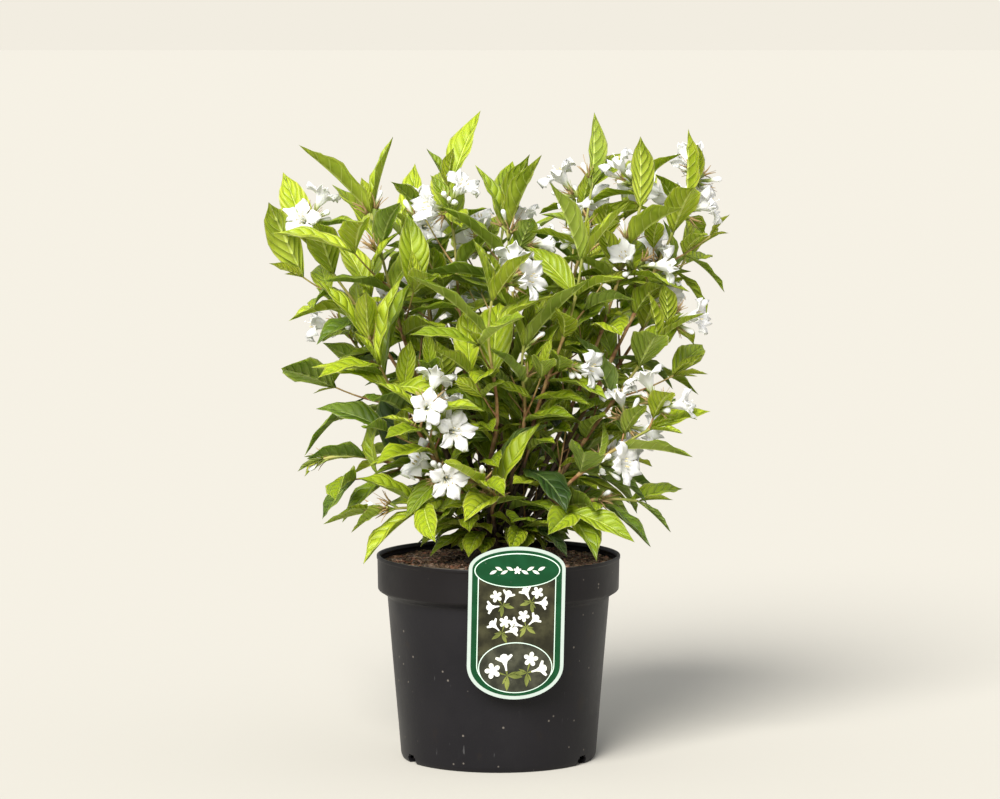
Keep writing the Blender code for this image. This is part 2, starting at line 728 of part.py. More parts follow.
def try_twig(crown, axis, key, root, direction, length, radius, touching):
    """Grows a side twig that bends upwards; returns it and its number, or None."""
    draw = random.Random(f"{axis.stem.name} twig {key}")
    for attempt in range(TRIES):
        loose = TWIG_LOOSE[0] + TWIG_LOOSE[1] * attempt
        aim = direction + Vector([draw.uniform(-loose, loose) for _ in range(3)])
        aim.normalize()
        reach = length * (1.0 - SHRINK * attempt)
        points = []
        for share in (0.0, 0.5, 1.0):
            lift = Vector((0, 0, TWIG_LIFT * reach * share * share))
            points.append(root + aim * (reach * share) + lift)
        radii = [radius * (1.0 - TWIG_TAPER * i) for i in range(3)]
        twig = Twig(points, radii)
        verts, faces = twig_solid(twig, GAP)
        if in_room(points[1:], axis) and crown.clear(verts, faces, touching):
            number = crown.keep(*twig_solid(twig))
            crown.grown.append(("twig", twig, 0, axis, number))
            return twig, number
    return None


def try_bloom(crown, axis, key, root, direction, touching):
    """Grows one bloom that nods a little; returns its number or None."""
    draw = random.Random(f"{axis.stem.name} bloom {key}")
    for attempt in range(TRIES):
        loose = BLOOM_LOOSE[0] + BLOOM_LOOSE[1] * attempt
        aim = direction + Vector([draw.uniform(-loose, loose) for _ in range(3)])
        aim.normalize()
        side = aim.orthogonal().normalized()
        size = draw.uniform(0.88, 1.08)
        bloom = Bloom(root, aim, side, BLOOM_LENGTH * size, BLOOM_MOUTH * size)
        verts, faces = bloom_solid(bloom, GAP)
        if in_room(verts[5:15], axis) and crown.clear(verts, faces, touching):
            number = crown.keep(*bloom_solid(bloom))
            crown.grown.append(("bloom", bloom, 0, axis, number))
            return number
    return None


def grow_pair(crown, axis, key, root, tangent, roll, rank, stem_number, scale=1.0):
    """Grows two opposite leaves at one node."""
    touching = {stem_number}
    for side in (0, 1):
        turn = roll + 180 * side
        number = try_leaf(crown, axis, f"{key} {side}", root, tangent, turn, rank, touching, scale)
        if number is not None:
            touching.add(number)


def grow_blooms(crown, axis, key, distance, roll, stem_number):
    """Grows a short twig with a cluster of blooms at its end and two small leaves under them."""
    tangent = axis.tangent(distance)
    root = axis.at(distance + AXIL_RISE)
    direction = fork(tangent, roll, BLOOM_TWIG_ANGLE)
    grown = try_twig(crown, axis, key, root, direction, BLOOM_TWIG_LENGTH, AXIL_TWIG_RADIUS, {stem_number})
    if grown is None:
        return
    twig, number = grown
    aim = (twig.points[2] - twig.points[1]).normalized()
    for i in range(BLOOMS_EACH):
        start = twig.points[2] - aim * (END_DEPTH + BLOOM_STEP * i)
        angle = BLOOM_ANGLE + BLOOM_ANGLE_STEP * i
        out = fork(aim, 180.0 * i + roll, angle) - Vector((0, 0, BLOOM_NOD))
        try_bloom(crown, axis, f"{key} {i}", start, out.normalized(), {number})
    grow_pair(crown, axis, f"{key} under", twig.points[1], aim, roll + 90, UNDER_RANK, number, UNDER_SCALE)


def grow_side(crown, axis, key, distance, roll, stem_number):
    """Grows a leafy side twig with two pairs of leaves and a pair at its tip."""
    tangent = axis.tangent(distance)
    root = axis.at(distance + AXIL_RISE)
    direction = fork(tangent, roll, AXIL_ANGLE)
    grown = try_twig(crown, axis, key, root, direction, AXIL_TWIG_LENGTH, AXIL_TWIG_RADIUS, {stem_number})
    if grown is None:
        return
    twig, number = grown
    aim = (twig.points[2] - twig.points[1]).normalized()
    end = twig.points[2] - aim * END_DEPTH
    grow_pair(crown, axis, f"{key} end", end, aim, roll + 90, END_RANK, number)
    grow_pair(crown, axis, f"{key} mid", twig.points[1], aim, roll, MIDDLE_RANK, number, MIDDLE_SCALE)


def grow_crown():
    """Grows every mass: the blooms first, then the pairs from the tips down, then the side twigs."""
    crown = Crown()
    bearings = root_bearings()
    axes = [Axis(stem, bearings[stem.name]) for stem in STEMS]
    numbers = {}
    for axis in axes:
        bare = axis.stem.bare * axis.length
        bough = [axis.at(bare * i / (BOUGH_POINTS - 1)) for i in range(BOUGH_POINTS)]
        radii = [axis.radius(bare * i / (BOUGH_POINTS - 1)) for i in range(BOUGH_POINTS)]
        crown.keep(*loft(bough, radii, 6))
    for axis in axes:
        start = axis.stem.bare * axis.length + 1.5 * GAP
        stops = [start + (axis.length - start) * i / (STEM_RINGS - 1) for i in range(STEM_RINGS)]
        twig = Twig([axis.at(s) for s in stops], [axis.radius(s) for s in stops])
        numbers[axis.stem.name] = crown.keep(*twig_solid(twig))
        crown.grown.append(("stem", twig, 0, axis, numbers[axis.stem.name]))

    def pair(axis, k):
        distance = axis.nodes()[k]
        roll = axis.stem.roll + 90 * k
        number = numbers[axis.stem.name]
        grow_pair(crown, axis, f"{k}", axis.at(distance), axis.tangent(distance), roll, k, number)

    most = max(len(axis.nodes()) for axis in axes)
    for k in range(most):
        for axis in axes:
            if k in axis.stem.blooms and k < len(axis.nodes()):
                roll = axis.stem.roll + 90 * (k if k else 1)
                for side in (0, 1):
                    turn = roll + 180 * side
                    key = f"bloom {k} {side}"
                    grow_blooms(crown, axis, key, axis.nodes()[k], turn, numbers[axis.stem.name])
    for k in range(most):
        for axis in axes:
            if k < len(axis.nodes()):
                pair(axis, k)
    for k in range(2, most):
        for axis in axes:
            if k in axis.side_ranks():
                roll = axis.stem.roll + 90 * k + (180 if k % 2 else 0)
                grow_side(crown, axis, f"side {k}", axis.nodes()[k], roll, numbers[axis.stem.name])
    return crown, axes, numbers


def make_bough(axis, home, finish):
    """The bare lower part of a stem, one tapering limb."""
    curve = bpy.data.curves.new(f"bough_{axis.stem.name}", "CURVE")
    curve.dimensions = "3D"
    curve.bevel_depth = 1.0
    curve.bevel_resolution = 1
    curve.use_fill_caps = True
    spline = curve.splines.new("POLY")
    spline.points.add(BOUGH_POINTS - 1)
    bare = axis.stem.bare * axis.length
    for i, point in enumerate(spline.points):
        distance = bare * i / (BOUGH_POINTS - 1)
        point.co = (*axis.at(distance), 1.0)
        point.radius = axis.radius(distance)
    return add_object(f"bough_{axis.stem.name}", curve, home, finish)


def make_mass(stem, grown, home, finish):
    """One mass of foliage: its twigs, leaves and blooms joined by one union."""
    makers = {"stem": twig_solid, "twig": twig_solid, "leaf": leaf_solid, "bloom": bloom_solid}
    pieces = collection(f"pieces_{stem.name}")
    base = None
    for i, (kind, shape) in enumerate(grown):
        verts, faces = makers[kind](shape)
        mesh = mesh_from(f"{kind}_{i}", verts, faces)
        if kind == "stem":
            base = add_object(f"foliage_{stem.name}", mesh, home)
        else:
            add_object(f"{kind}_{stem.name}_{i}", mesh, pieces)
    join = base.modifiers.new("union", "BOOLEAN")
    join.operation = "UNION"
    join.operand_type = "COLLECTION"
    join.collection = pieces
    bpy.context.view_layer.update()
    evaluated = base.evaluated_get(bpy.context.evaluated_depsgraph_get())
    mesh = bpy.data.meshes.new_from_object(evaluated)
    base.modifiers.clear()
    base.data = mesh
    mesh.materials.clear()
    mesh.materials.append(finish)
    for piece in list(pieces.objects):
        bpy.data.objects.remove(piece, do_unlink=True)
    bpy.data.collections.remove(pieces)
    return base


def main():
    clear_scene()
    plant = collection("weigela")
    cutters = collection("cutters")
    make_pot(plant, cutters, material("pot_plastic", (0.055, 0.056, 0.060), 0.55))
    make_soil(plant, material("soil", (0.035, 0.022, 0.015), 0.95))
    make_label(plant, material("label_card", (0.85, 0.87, 0.85), 0.35))
    bark = material("bark", (0.22, 0.13, 0.07), 0.8)
    foliage = material("foliage", (0.20, 0.36, 0.06), 0.5)
    make_foot(plant, bark)
    crown, axes, _ = grow_crown()
    for axis in axes:
        make_bough(axis, plant, bark)
        grown = [(kind, shape) for kind, shape, _, owner, _ in crown.grown if owner is axis]
        make_mass(axis.stem, grown, plant, foliage)
    for name in ("leaf", "bloom", "twig"):
        print(name, sum(1 for row in crown.grown if row[0] == name))


main()
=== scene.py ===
# %% [markdown]
# # A white-flowered weigela in its nursery pot
# The real thing is a young garden shrub as a nursery sells it: a dark plastic pot, peaty soil, a woody
# foot from which stems fan out, opposite leaves with arched veins, white trumpet blooms and a label that
# hangs over the rim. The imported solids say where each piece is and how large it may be. They are loaded
# first, and every cell after that gives one piece its real surface.

import json
import math
import random
from collections import namedtuple

import bmesh
import bpy
from mathutils import Matrix, Vector, noise
from mathutils.bvhtree import BVHTree

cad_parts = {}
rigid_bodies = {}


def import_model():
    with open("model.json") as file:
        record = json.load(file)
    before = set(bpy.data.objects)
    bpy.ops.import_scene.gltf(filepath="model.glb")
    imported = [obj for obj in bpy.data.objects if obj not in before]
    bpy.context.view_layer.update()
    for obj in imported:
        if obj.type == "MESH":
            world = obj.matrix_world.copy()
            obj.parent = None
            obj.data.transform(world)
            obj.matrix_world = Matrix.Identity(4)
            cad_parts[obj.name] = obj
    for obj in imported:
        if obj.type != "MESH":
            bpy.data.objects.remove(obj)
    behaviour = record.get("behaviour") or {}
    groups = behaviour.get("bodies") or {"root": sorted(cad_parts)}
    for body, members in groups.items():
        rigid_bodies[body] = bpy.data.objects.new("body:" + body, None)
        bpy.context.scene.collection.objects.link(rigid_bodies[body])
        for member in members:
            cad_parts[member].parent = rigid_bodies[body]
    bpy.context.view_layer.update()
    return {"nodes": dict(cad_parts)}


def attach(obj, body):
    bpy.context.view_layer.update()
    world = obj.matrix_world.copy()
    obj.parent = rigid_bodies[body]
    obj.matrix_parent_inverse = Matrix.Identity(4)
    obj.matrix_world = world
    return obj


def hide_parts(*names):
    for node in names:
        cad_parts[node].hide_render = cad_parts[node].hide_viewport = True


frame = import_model()
FOLIAGE = sorted(name for name in frame["nodes"] if name.startswith("foliage_"))
BOUGHS = sorted(name for name in frame["nodes"] if name.startswith("bough_"))
print("solids:", len(frame["nodes"]), "foliage masses:", len(FOLIAGE), "boughs:", len(BOUGHS))

# %% [markdown]
# ## Camera, floor and light
# A product photographer stands well back with a long lens, so the pot keeps straight sides. The lens and
# the place of the camera come from the width of the pot's rim and the ellipse that its edge draws. A
# studio has a curved backdrop. A flat floor under a sky of the same cream colour is simpler, and no
# horizon shows either. One wide key light from the upper left gives soft shadows, as a large window does.

# %% The camera
CAMERA_PLACE = (0.00116, -3.0, 0.558)
CAMERA_PITCH = 5.3
LENS = 139.7
SENSOR = 36.0

camera_data = bpy.data.cameras.new("camera")
camera_data.lens = LENS
camera_data.sensor_width = SENSOR
camera = bpy.data.objects.new("camera", camera_data)
camera.location = CAMERA_PLACE
camera.rotation_euler = (math.radians(90.0 - CAMERA_PITCH), 0.0, 0.0)
bpy.context.scene.collection.objects.link(camera)
bpy.context.scene.camera = camera
bpy.context.scene.view_settings.view_transform = "Standard"
print("camera at", CAMERA_PLACE, "with a lens of", LENS, "mm")

# %% Helpers that build node trees
def connect(tree, value, socket):
    """Links an output to a socket, or sets the socket to a fixed value."""
    if isinstance(value, bpy.types.NodeSocket):
        tree.links.new(value, socket)
    else:
        socket.default_value = value


def add(tree, kind, inputs=(), **options):
    """Adds a node with its own options; inputs maps its sockets to values or to outputs."""
    made = tree.nodes.new(kind)
    for name, value in options.items():
        setattr(made, name, value)
    for key, value in dict(inputs).items():
        connect(tree, value, made.inputs[key])
    return made


def calc(tree, operation, *values):
    """One step of arithmetic; returns its result."""
    made = add(tree, "ShaderNodeMath", dict(enumerate(values)), operation=operation)
    return made.outputs[0]


def times(tree, *values):
    """The product of two or more values."""
    product = values[0]
    for value in values[1:]:
        product = calc(tree, "MULTIPLY", product, value)
    return product


def scaled(tree, value, factor, offset):
    """A value times a factor, plus an offset."""
    return calc(tree, "MULTIPLY_ADD", value, factor, offset)


def calc_vector(tree, operation, first, second):
    """One step of arithmetic on vectors; returns its result."""
    other = "Scale" if operation == "SCALE" else 1
    made = add(tree, "ShaderNodeVectorMath", operation=operation)
    connect(tree, first, made.inputs[0])
    connect(tree, second, made.inputs[other])
    return made.outputs[0]


def soft_step(tree, value, low, high):
    """0 below low, 1 above high and smooth between them; low may be the greater."""
    made = add(tree, "ShaderNodeMapRange", {0: value, 1: low, 2: high}, interpolation_type="SMOOTHSTEP")
    return made.outputs[0]


def blend(tree, mask, first, second):
    """The first colour where the mask is 0, the second where it is 1."""
    made = add(tree, "ShaderNodeMix", {0: mask, 6: first, 7: second}, data_type="RGBA")
    return made.outputs[2]


def object_place(tree):
    """Where a point lies, in the piece's own coordinates."""
    return add(tree, "ShaderNodeTexCoord").outputs["Object"]


def parts(tree, vector):
    """The three numbers of a vector."""
    return add(tree, "ShaderNodeSeparateXYZ", {0: vector}).outputs


def clouds_of(tree, place, scale, detail):
    """Soft noise, around a half."""
    return add(tree, "ShaderNodeTexNoise", {0: place, "Scale": scale, "Detail": detail}).outputs[0]


def rgb(red, green, blue):
    """A colour given as it looks on screen, 0 to 255, as the linear numbers that a node takes."""
    def linear(level):
        share = level / 255.0
        return share / 12.92 if share <= 0.04045 else ((share + 0.055) / 1.055) ** 2.4
    return (linear(red), linear(green), linear(blue), 1.0)


print("helpers for node trees: connect, add, calc, times, scaled, soft_step, blend")

# %% The floor, the sky and the lamps
BACKDROP = rgb(242, 237, 225)
FLOOR_SIZE = 200.0
FLOOR_COLOUR = (0.562, 0.541, 0.484, 1.0)
SKY_LIGHT = (0.56, 0.57, 0.59, 1.0)
FLOOR_ROUGHNESS = 0.9
SUN_STRENGTH = 5.6
SUN_COLOUR = (1.0, 0.98, 0.95)
SUN_PLACE = (-1.05, -2.75, 2.25)
SUN_SPREAD = 32.0

floor_mesh = bpy.data.meshes.new("floor")
corners = [(x * FLOOR_SIZE, y * FLOOR_SIZE, 0.0) for x, y in ((-1, -1), (1, -1), (1, 1), (-1, 1))]
floor_mesh.from_pydata(corners, [], [(0, 1, 2, 3)])
floor = bpy.data.objects.new("floor", floor_mesh)
bpy.context.scene.collection.objects.link(floor)
floor_finish = bpy.data.materials.new("floor")
floor_finish.use_nodes = True
floor_shader = floor_finish.node_tree.nodes["Principled BSDF"]
floor_shader.inputs["Base Color"].default_value = FLOOR_COLOUR
floor_shader.inputs["Roughness"].default_value = FLOOR_ROUGHNESS
floor_shader.inputs["Specular IOR Level"].default_value = 0.0
floor_mesh.materials.append(floor_finish)

world = bpy.data.worlds.new("studio")
world.use_nodes = True
bpy.context.scene.world = world
sky = world.node_tree
seen = add(sky, "ShaderNodeLightPath").outputs["Is Camera Ray"]
connect(sky, blend(sky, seen, SKY_LIGHT, BACKDROP), sky.nodes["Background"].inputs["Color"])

sun_data = bpy.data.lights.new("key", "SUN")
sun_data.energy = SUN_STRENGTH
sun_data.angle = math.radians(SUN_SPREAD)
sun_data.color = SUN_COLOUR
sun = bpy.data.objects.new("key", sun_data)
sun.rotation_euler = Vector(SUN_PLACE).to_track_quat("Z", "Y").to_euler()
bpy.context.scene.collection.objects.link(sun)
print("floor, sky and one soft key light from the upper left")

# %% [markdown]
# ## Effects that several finishes share
# Real surfaces are never one colour: plastic shows faint clouds, soil and bark are mottled, and dust
# settles on whatever faces up. Every material could have its own nodes for that, and each would have to
# be put right by itself. Here each effect is a node group with its own inputs, made once, so that every
# material can use it at its own scale.

# %% Shared shader groups
def shader_group(name, inputs, outputs):
    """An empty node group with the given sockets; returns it with its input and output nodes."""
    made = bpy.data.node_groups.new(name, "ShaderNodeTree")
    for label, kind, value in inputs:
        socket = made.interface.new_socket(label, in_out="INPUT", socket_type=kind)
        socket.default_value = value
    for label, kind in outputs:
        made.interface.new_socket(label, in_out="OUTPUT", socket_type=kind)
    return made, made.nodes.new("NodeGroupInput"), made.nodes.new("NodeGroupOutput")


NUMBER = "NodeSocketFloat"
COLOUR = "NodeSocketColor"
WHITE = (1.0, 1.0, 1.0, 1.0)
BLACK = (0.0, 0.0, 0.0, 1.0)
BROAD_GRAIN = 0.22
BROAD_SHARE = 0.6
DUST_CLOUDS = 90.0
DUST_FACING = (0.3, 0.95)
DUST_PATCHES = (0.35, 0.65)
SPECK_EDGE = (0.30, 0.12)
SPECK_RARITY = 0.965


def make_mottle():
    """Clouds of one colour in another; the mask says where."""
    group, start, end = shader_group(
        "mottle",
        [("First", COLOUR, WHITE), ("Second", COLOUR, BLACK), ("Scale", NUMBER, 40.0),
         ("Low", NUMBER, 0.4), ("High", NUMBER, 0.6)],
        [("Color", COLOUR), ("Mask", NUMBER)],
    )
    clouds = clouds_of(group, object_place(group), start.outputs["Scale"], 5.0)
    mask = soft_step(group, clouds, start.outputs["Low"], start.outputs["High"])
    connect(group, blend(group, mask, start.outputs["First"], start.outputs["Second"]), end.inputs[0])
    connect(group, mask, end.inputs[1])
    return group


def make_grain():
    """A fine uneven surface, for a Bump node's Height."""
    group, start, end = shader_group("grain", [("Scale", NUMBER, 400.0)], [("Height", NUMBER)])
    place = object_place(group)
    fine = clouds_of(group, place, start.outputs["Scale"], 3.0)
    broad = clouds_of(group, place, times(group, start.outputs["Scale"], BROAD_GRAIN), 2.0)
    fine = times(group, fine, 1.0 - BROAD_SHARE)
    connect(group, scaled(group, broad, BROAD_SHARE, fine), end.inputs[0])
    return group


def make_dust():
    """Pale dust on faces that look up, and small specks all over."""
    group, start, end = shader_group(
        "dust",
        [("Color", COLOUR, WHITE), ("Dust", COLOUR, WHITE), ("Settled", NUMBER, 0.3),
         ("Specks", NUMBER, 0.5), ("Scale", NUMBER, 300.0)],
        [("Color", COLOUR), ("Mask", NUMBER)],
    )
    place = object_place(group)
    upward = parts(group, add(group, "ShaderNodeNewGeometry").outputs["Normal"])[2]
    patches = soft_step(group, clouds_of(group, place, DUST_CLOUDS, 4.0), *DUST_PATCHES)
    lying = times(group, soft_step(group, upward, *DUST_FACING), start.outputs["Settled"], patches)
    cells = add(group, "ShaderNodeTexVoronoi", {"Vector": place, "Scale": start.outputs["Scale"]})
    chosen = calc(group, "GREATER_THAN", parts(group, cells.outputs["Color"])[0], SPECK_RARITY)
    speck = soft_step(group, cells.outputs["Distance"], *SPECK_EDGE)
    mask = calc(group, "MAXIMUM", lying, times(group, speck, chosen, start.outputs["Specks"]))
    connect(group, blend(group, mask, start.outputs["Color"], start.outputs["Dust"]), end.inputs[0])
    connect(group, mask, end.inputs[1])
    return group


MOTTLE = make_mottle()
GRAIN = make_grain()
DUST = make_dust()
print("shader groups:", MOTTLE.name, GRAIN.name, DUST.name)

# %% Helpers that make a finish
def use(tree, group, **values):
    """Places a shared group in a material; values fill its inputs, by their names."""
    made = add(tree, "ShaderNodeGroup", node_tree=group)
    for name, value in values.items():
        connect(tree, value, made.inputs[name])
    return made


def finish(name, **fixed):
    """A new material; fixed values go straight on the shader's own sockets."""
    made = bpy.data.materials.new(name)
    made.use_nodes = True
    shader = made.node_tree.nodes["Principled BSDF"]
    for socket, value in fixed.items():
        shader.inputs[socket.replace("_", " ")].default_value = value
    return made, made.node_tree, shader


def bump(tree, shader, height, distance, strength=1.0):
    """Feeds a height to the shader's normal; distance is its depth in metres."""
    made = add(tree, "ShaderNodeBump", {"Height": height, "Distance": distance, "Strength": strength})
    connect(tree, made.outputs[0], shader.inputs["Normal"])


def wear(tree, shader, colour, roughness, grain=None, depth=0.0):
    """Gives the shader a colour and a roughness and, where a scale is given, a fine grain."""
    connect(tree, colour, shader.inputs["Base Color"])
    connect(tree, roughness, shader.inputs["Roughness"])
    if grain:
        bump(tree, shader, use(tree, GRAIN, Scale=grain).outputs[0], depth)


def carried(tree, name):
    """A number that the mesh carries for its finish."""
    return add(tree, "ShaderNodeAttribute", attribute_name=name).outputs["Fac"]


print("helpers for finishes: use, finish, bump, wear, carried")

# %% [markdown]
# ## The sizes that the solids were built from
# A learner can measure a pot with a ruler. Here the same few sizes drive both the solid model and its
# dressed copy, so the pieces land where the solids are. All are in metres.

# %% Driving sizes
GAP = 0.0003
POT_HEIGHT = 0.159
RIM_RADIUS = 0.095
RIM_FOOT_RADIUS = 0.0940
RIM_DEPTH = 0.027
LIP = 0.0012
SHOULDER_RADIUS = 0.0866
SHOULDER_DROP = 0.0085
BASE_RADIUS = 0.0762
BASE_EDGE = 0.003
WALL = 0.0016
FLOOR = 0.0025
NOTCH_COUNT = 3
NOTCH_WIDTH = 0.012
NOTCH_HEIGHT = 0.007
NOTCH_DEPTH = 0.007
NOTCH_BEARING = 88.0
SOIL_EDGE = POT_HEIGHT - 0.008
SOIL_CROWN = 0.002
FOOT_HEIGHT = 0.013
FOOT_RADIUS = 0.0175
FOOT_FLARE = 0.027
LABEL_WIDTH = 0.074
LABEL_HEIGHT = 0.117
LABEL_TOP_ARCH = 0.017
LABEL_FOOT_ARCH = 0.026
LABEL_THICKNESS = 0.0009
LABEL_RISE = 0.018
LABEL_BEARING = -81.5
LABEL_TILT = 1.4
LABEL_TURN = -1.0
HOOK_WIDTH = 0.020
HOOK_DROP = 0.006
print("pot", 2 * RIM_RADIUS, "m across and", POT_HEIGHT, "m high")

# %% Helpers that build and hand over pieces
def make_object(name, mesh, *finishes):
    """An object of a mesh in the scene, with its materials."""
    for material in finishes:
        mesh.materials.append(material)
    made = bpy.data.objects.new(name, mesh)
    bpy.context.scene.collection.objects.link(made)
    return made


def mesh_of(name, verts, faces):
    """A smooth mesh of points and faces."""
    made = bpy.data.meshes.new(name)
    made.from_pydata([tuple(v) for v in verts], [], faces)
    made.polygons.foreach_set("use_smooth", [True] * len(faces))
    return made


def mesh_from(name, shape):
    """The mesh of a finished bmesh, which is freed."""
    made = bpy.data.meshes.new(name)
    shape.to_mesh(made)
    shape.free()
    return made


def ring_faces(first, count):
    """The faces between one ring of points and the next."""
    beside = [(j, (j + 1) % count) for j in range(count)]
    return [(first + j, first + k, first + count + k, first + count + j) for j, k in beside]


def baked(made):
    """Turns an object with modifiers into one with a plain mesh."""
    bpy.context.view_layer.update()
    evaluated = made.evaluated_get(bpy.context.evaluated_depsgraph_get())
    mesh = bpy.data.meshes.new_from_object(evaluated)
    made.modifiers.clear()
    made.data = mesh
    return made


def hand_over(piece, slot, *nodes):
    """The piece rides with the plant and stands for some solids; its slot is not used."""
    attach(piece, "root")
    if nodes:
        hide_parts(*nodes)
    triangles = sum(len(face.vertices) - 2 for face in piece.data.polygons)
    print("piece", piece.name, "with", triangles, "triangles")


NUMBER_KIND = "FLOAT"
VECTOR_KIND = "FLOAT_VECTOR"


def attribute(mesh, name, kind, values):
    """Stores one value for each point of a mesh."""
    made = mesh.attributes.new(name, kind, "POINT")
    if kind == VECTOR_KIND:
        made.data.foreach_set("vector", [number for value in values for number in value])
    else:
        made.data.foreach_set("value", values)


print("helpers for pieces: make_object, mesh_of, mesh_from, ring_faces, baked, hand_over, attribute")

# %% [markdown]
# ## The pot
# A nursery pot is injection moulded: one thin wall with a rim band, a sloping shoulder, a taper that lets
# pots nest, and notches round the foot for water. A lathe profile turned by Screw is the natural way to
# make it. The corners of the profile are short arcs, because moulded plastic has no sharp edges, and the
# notches are cut afterwards. A little noise bends the wall, as thin plastic does under the weight of soil.

# %% Profiles and turned solids
ARC_POINTS = 4
ARC_LIMIT = 0.45


def wall_radius(height):
    """Outer radius of the pot's body at a height below its shoulder."""
    top = POT_HEIGHT - RIM_DEPTH - SHOULDER_DROP
    share = (height - BASE_EDGE) / (top - BASE_EDGE)
    return BASE_RADIUS + (SHOULDER_RADIUS - BASE_RADIUS) * share


def rounded(corners):
    """A profile whose corners, given as (radius, height, rounding), are short arcs."""
    found = []
    for i, (x, z, size) in enumerate(corners):
        here = Vector((x, z))
        if size == 0.0 or i in (0, len(corners) - 1):
            found.append((x, z))
            continue
        before = Vector(corners[i - 1][:2]) - here
        after = Vector(corners[i + 1][:2]) - here
        size = min(size, before.length * ARC_LIMIT, after.length * ARC_LIMIT)
        start = here + before.normalized() * size
        stop = here + after.normalized() * size
        for step in range(ARC_POINTS + 1):
            t = step / ARC_POINTS
            point = start * (1 - t) ** 2 + here * (2 * t * (1 - t)) + stop * t * t
            found.append((point.x, point.y))
    return found


def spaced(profile, longest):
    """The same profile with extra points, so that no step is longer than the given length."""
    found = [profile[0]]
    for last, here in zip(profile, profile[1:]):
        steps = max(1, math.ceil(math.dist(last, here) / longest))
        for i in range(1, steps + 1):
            t = i / steps
            found.append((last[0] + (here[0] - last[0]) * t, last[1] + (here[1] - last[1]) * t))
    return found


def turned(name, profile, steps):
    """A solid of revolution about Z."""
    mesh = bpy.data.meshes.new(name)
    mesh.from_pydata([(r, 0.0, z) for r, z in profile], [(i, i + 1) for i in range(len(profile) - 1)], [])
    made = make_object(name, mesh)
    screw = made.modifiers.new("turn", "SCREW")
    screw.steps = steps
    screw.render_steps = steps
    screw.use_merge_vertices = True
    screw.merge_threshold = 0.00001
    screw.use_smooth_shade = True
    return made


print("the pot's body has a radius of", wall_radius(BASE_EDGE), "m at its foot")

# %% The pot's shape
POT_STEPS = 144
BEAD = 0.0007
INSIDE_GROOVE = (0.0028, 0.0040)
OUTSIDE_STEP = (0.0026, 0.0032)
OUTSIDE_STEP_DEPTH = 0.0006
SHOULDER_SHARE = 0.55
LONGEST_STEP = 0.009
NOTCH_ROUNDING = 0.002
WALL_WOBBLE = 0.00045
WOBBLE_SCALE = (16, 16, 9)
WOBBLE_START = 5.0
STIFF_HEIGHT = 0.03
STIFF_RADIUS = 0.02
SHARP_ANGLE = 38.0


def notch_cutter(angle):
    """A block with rounded upright edges that stands across the pot's foot at an angle."""
    shape = bmesh.new()
    bmesh.ops.create_cube(shape, size=1.0)
    bmesh.ops.scale(shape, vec=(2 * NOTCH_DEPTH, NOTCH_WIDTH, 2 * NOTCH_HEIGHT), verts=shape.verts)
    sides = [e for e in shape.edges if abs(e.verts[0].co.x - e.verts[1].co.x) > NOTCH_DEPTH]
    bmesh.ops.bevel(shape, geom=sides, offset=NOTCH_ROUNDING, segments=3, affect="EDGES")
    place = Matrix.Rotation(angle, 4, "Z") @ Matrix.Translation((BASE_RADIUS, 0.0, 0.0))
    bmesh.ops.transform(shape, matrix=place, verts=shape.verts)
    return bpy.data.objects.new("notch", mesh_from("notch", shape))


def make_pot():
    """The moulded pot with its rim, shoulder, taper and notches."""
    rim_foot = POT_HEIGHT - RIM_DEPTH
    shoulder = rim_foot - SHOULDER_DROP
    # radius, height and rounding, from the middle of the inside over the rim to the middle of the foot
    corners = [
        (0.0, FLOOR, 0),
        (wall_radius(FLOOR) - WALL, FLOOR, 0.004),
        (SHOULDER_RADIUS - WALL, shoulder + WALL, 0.003),
        (RIM_FOOT_RADIUS - WALL, rim_foot + WALL, 0.003),
        (RIM_RADIUS - WALL - BEAD, POT_HEIGHT - INSIDE_GROOVE[1], 0.001),
        (RIM_RADIUS - WALL - 2 * BEAD, POT_HEIGHT - INSIDE_GROOVE[0], 0.0006),
        (RIM_RADIUS - WALL - BEAD, POT_HEIGHT, 0.0008),
        (RIM_RADIUS, POT_HEIGHT, 0.0009),
        (RIM_RADIUS, POT_HEIGHT - OUTSIDE_STEP[0], 0.0005),
        (RIM_RADIUS - OUTSIDE_STEP_DEPTH, POT_HEIGHT - OUTSIDE_STEP[1], 0.0005),
        (RIM_FOOT_RADIUS, rim_foot, 0.0014),
        (SHOULDER_RADIUS, rim_foot - SHOULDER_SHARE * SHOULDER_DROP, 0.0016),
        (BASE_RADIUS, BASE_EDGE, 0.002),
        (BASE_RADIUS - BASE_EDGE / 2, 0.0, 0.0012),
        (0.0, 0.0, 0),
    ]
    pot = turned("pot_shell", spaced(rounded(corners), LONGEST_STEP), POT_STEPS)
    cutters = bpy.data.collections.new("cutters")
    for i in range(NOTCH_COUNT):
        cutters.objects.link(notch_cutter(math.radians(NOTCH_BEARING + 360.0 * i / NOTCH_COUNT)))
    cut = pot.modifiers.new("notches", "BOOLEAN")
    cut.operand_type = "COLLECTION"
    cut.collection = cutters
    baked(pot)
    for cutter in list(cutters.objects):
        bpy.data.objects.remove(cutter, do_unlink=True)
    for vertex in pot.data.vertices:
        x, y, z = (a * b for a, b in zip(vertex.co, WOBBLE_SCALE))
        rise = min(1.0, vertex.co.z / STIFF_HEIGHT)
        push = noise.noise(Vector((x, y, z + WOBBLE_START))) * WALL_WOBBLE * rise
        out = Vector((vertex.co.x, vertex.co.y, 0.0))
        if out.length > STIFF_RADIUS:
            vertex.co += out.normalized() * push
    pot.data.set_sharp_from_angle(angle=math.radians(SHARP_ANGLE))
    return pot


pot = make_pot()
print("the pot's shell:", len(pot.data.polygons), "faces")

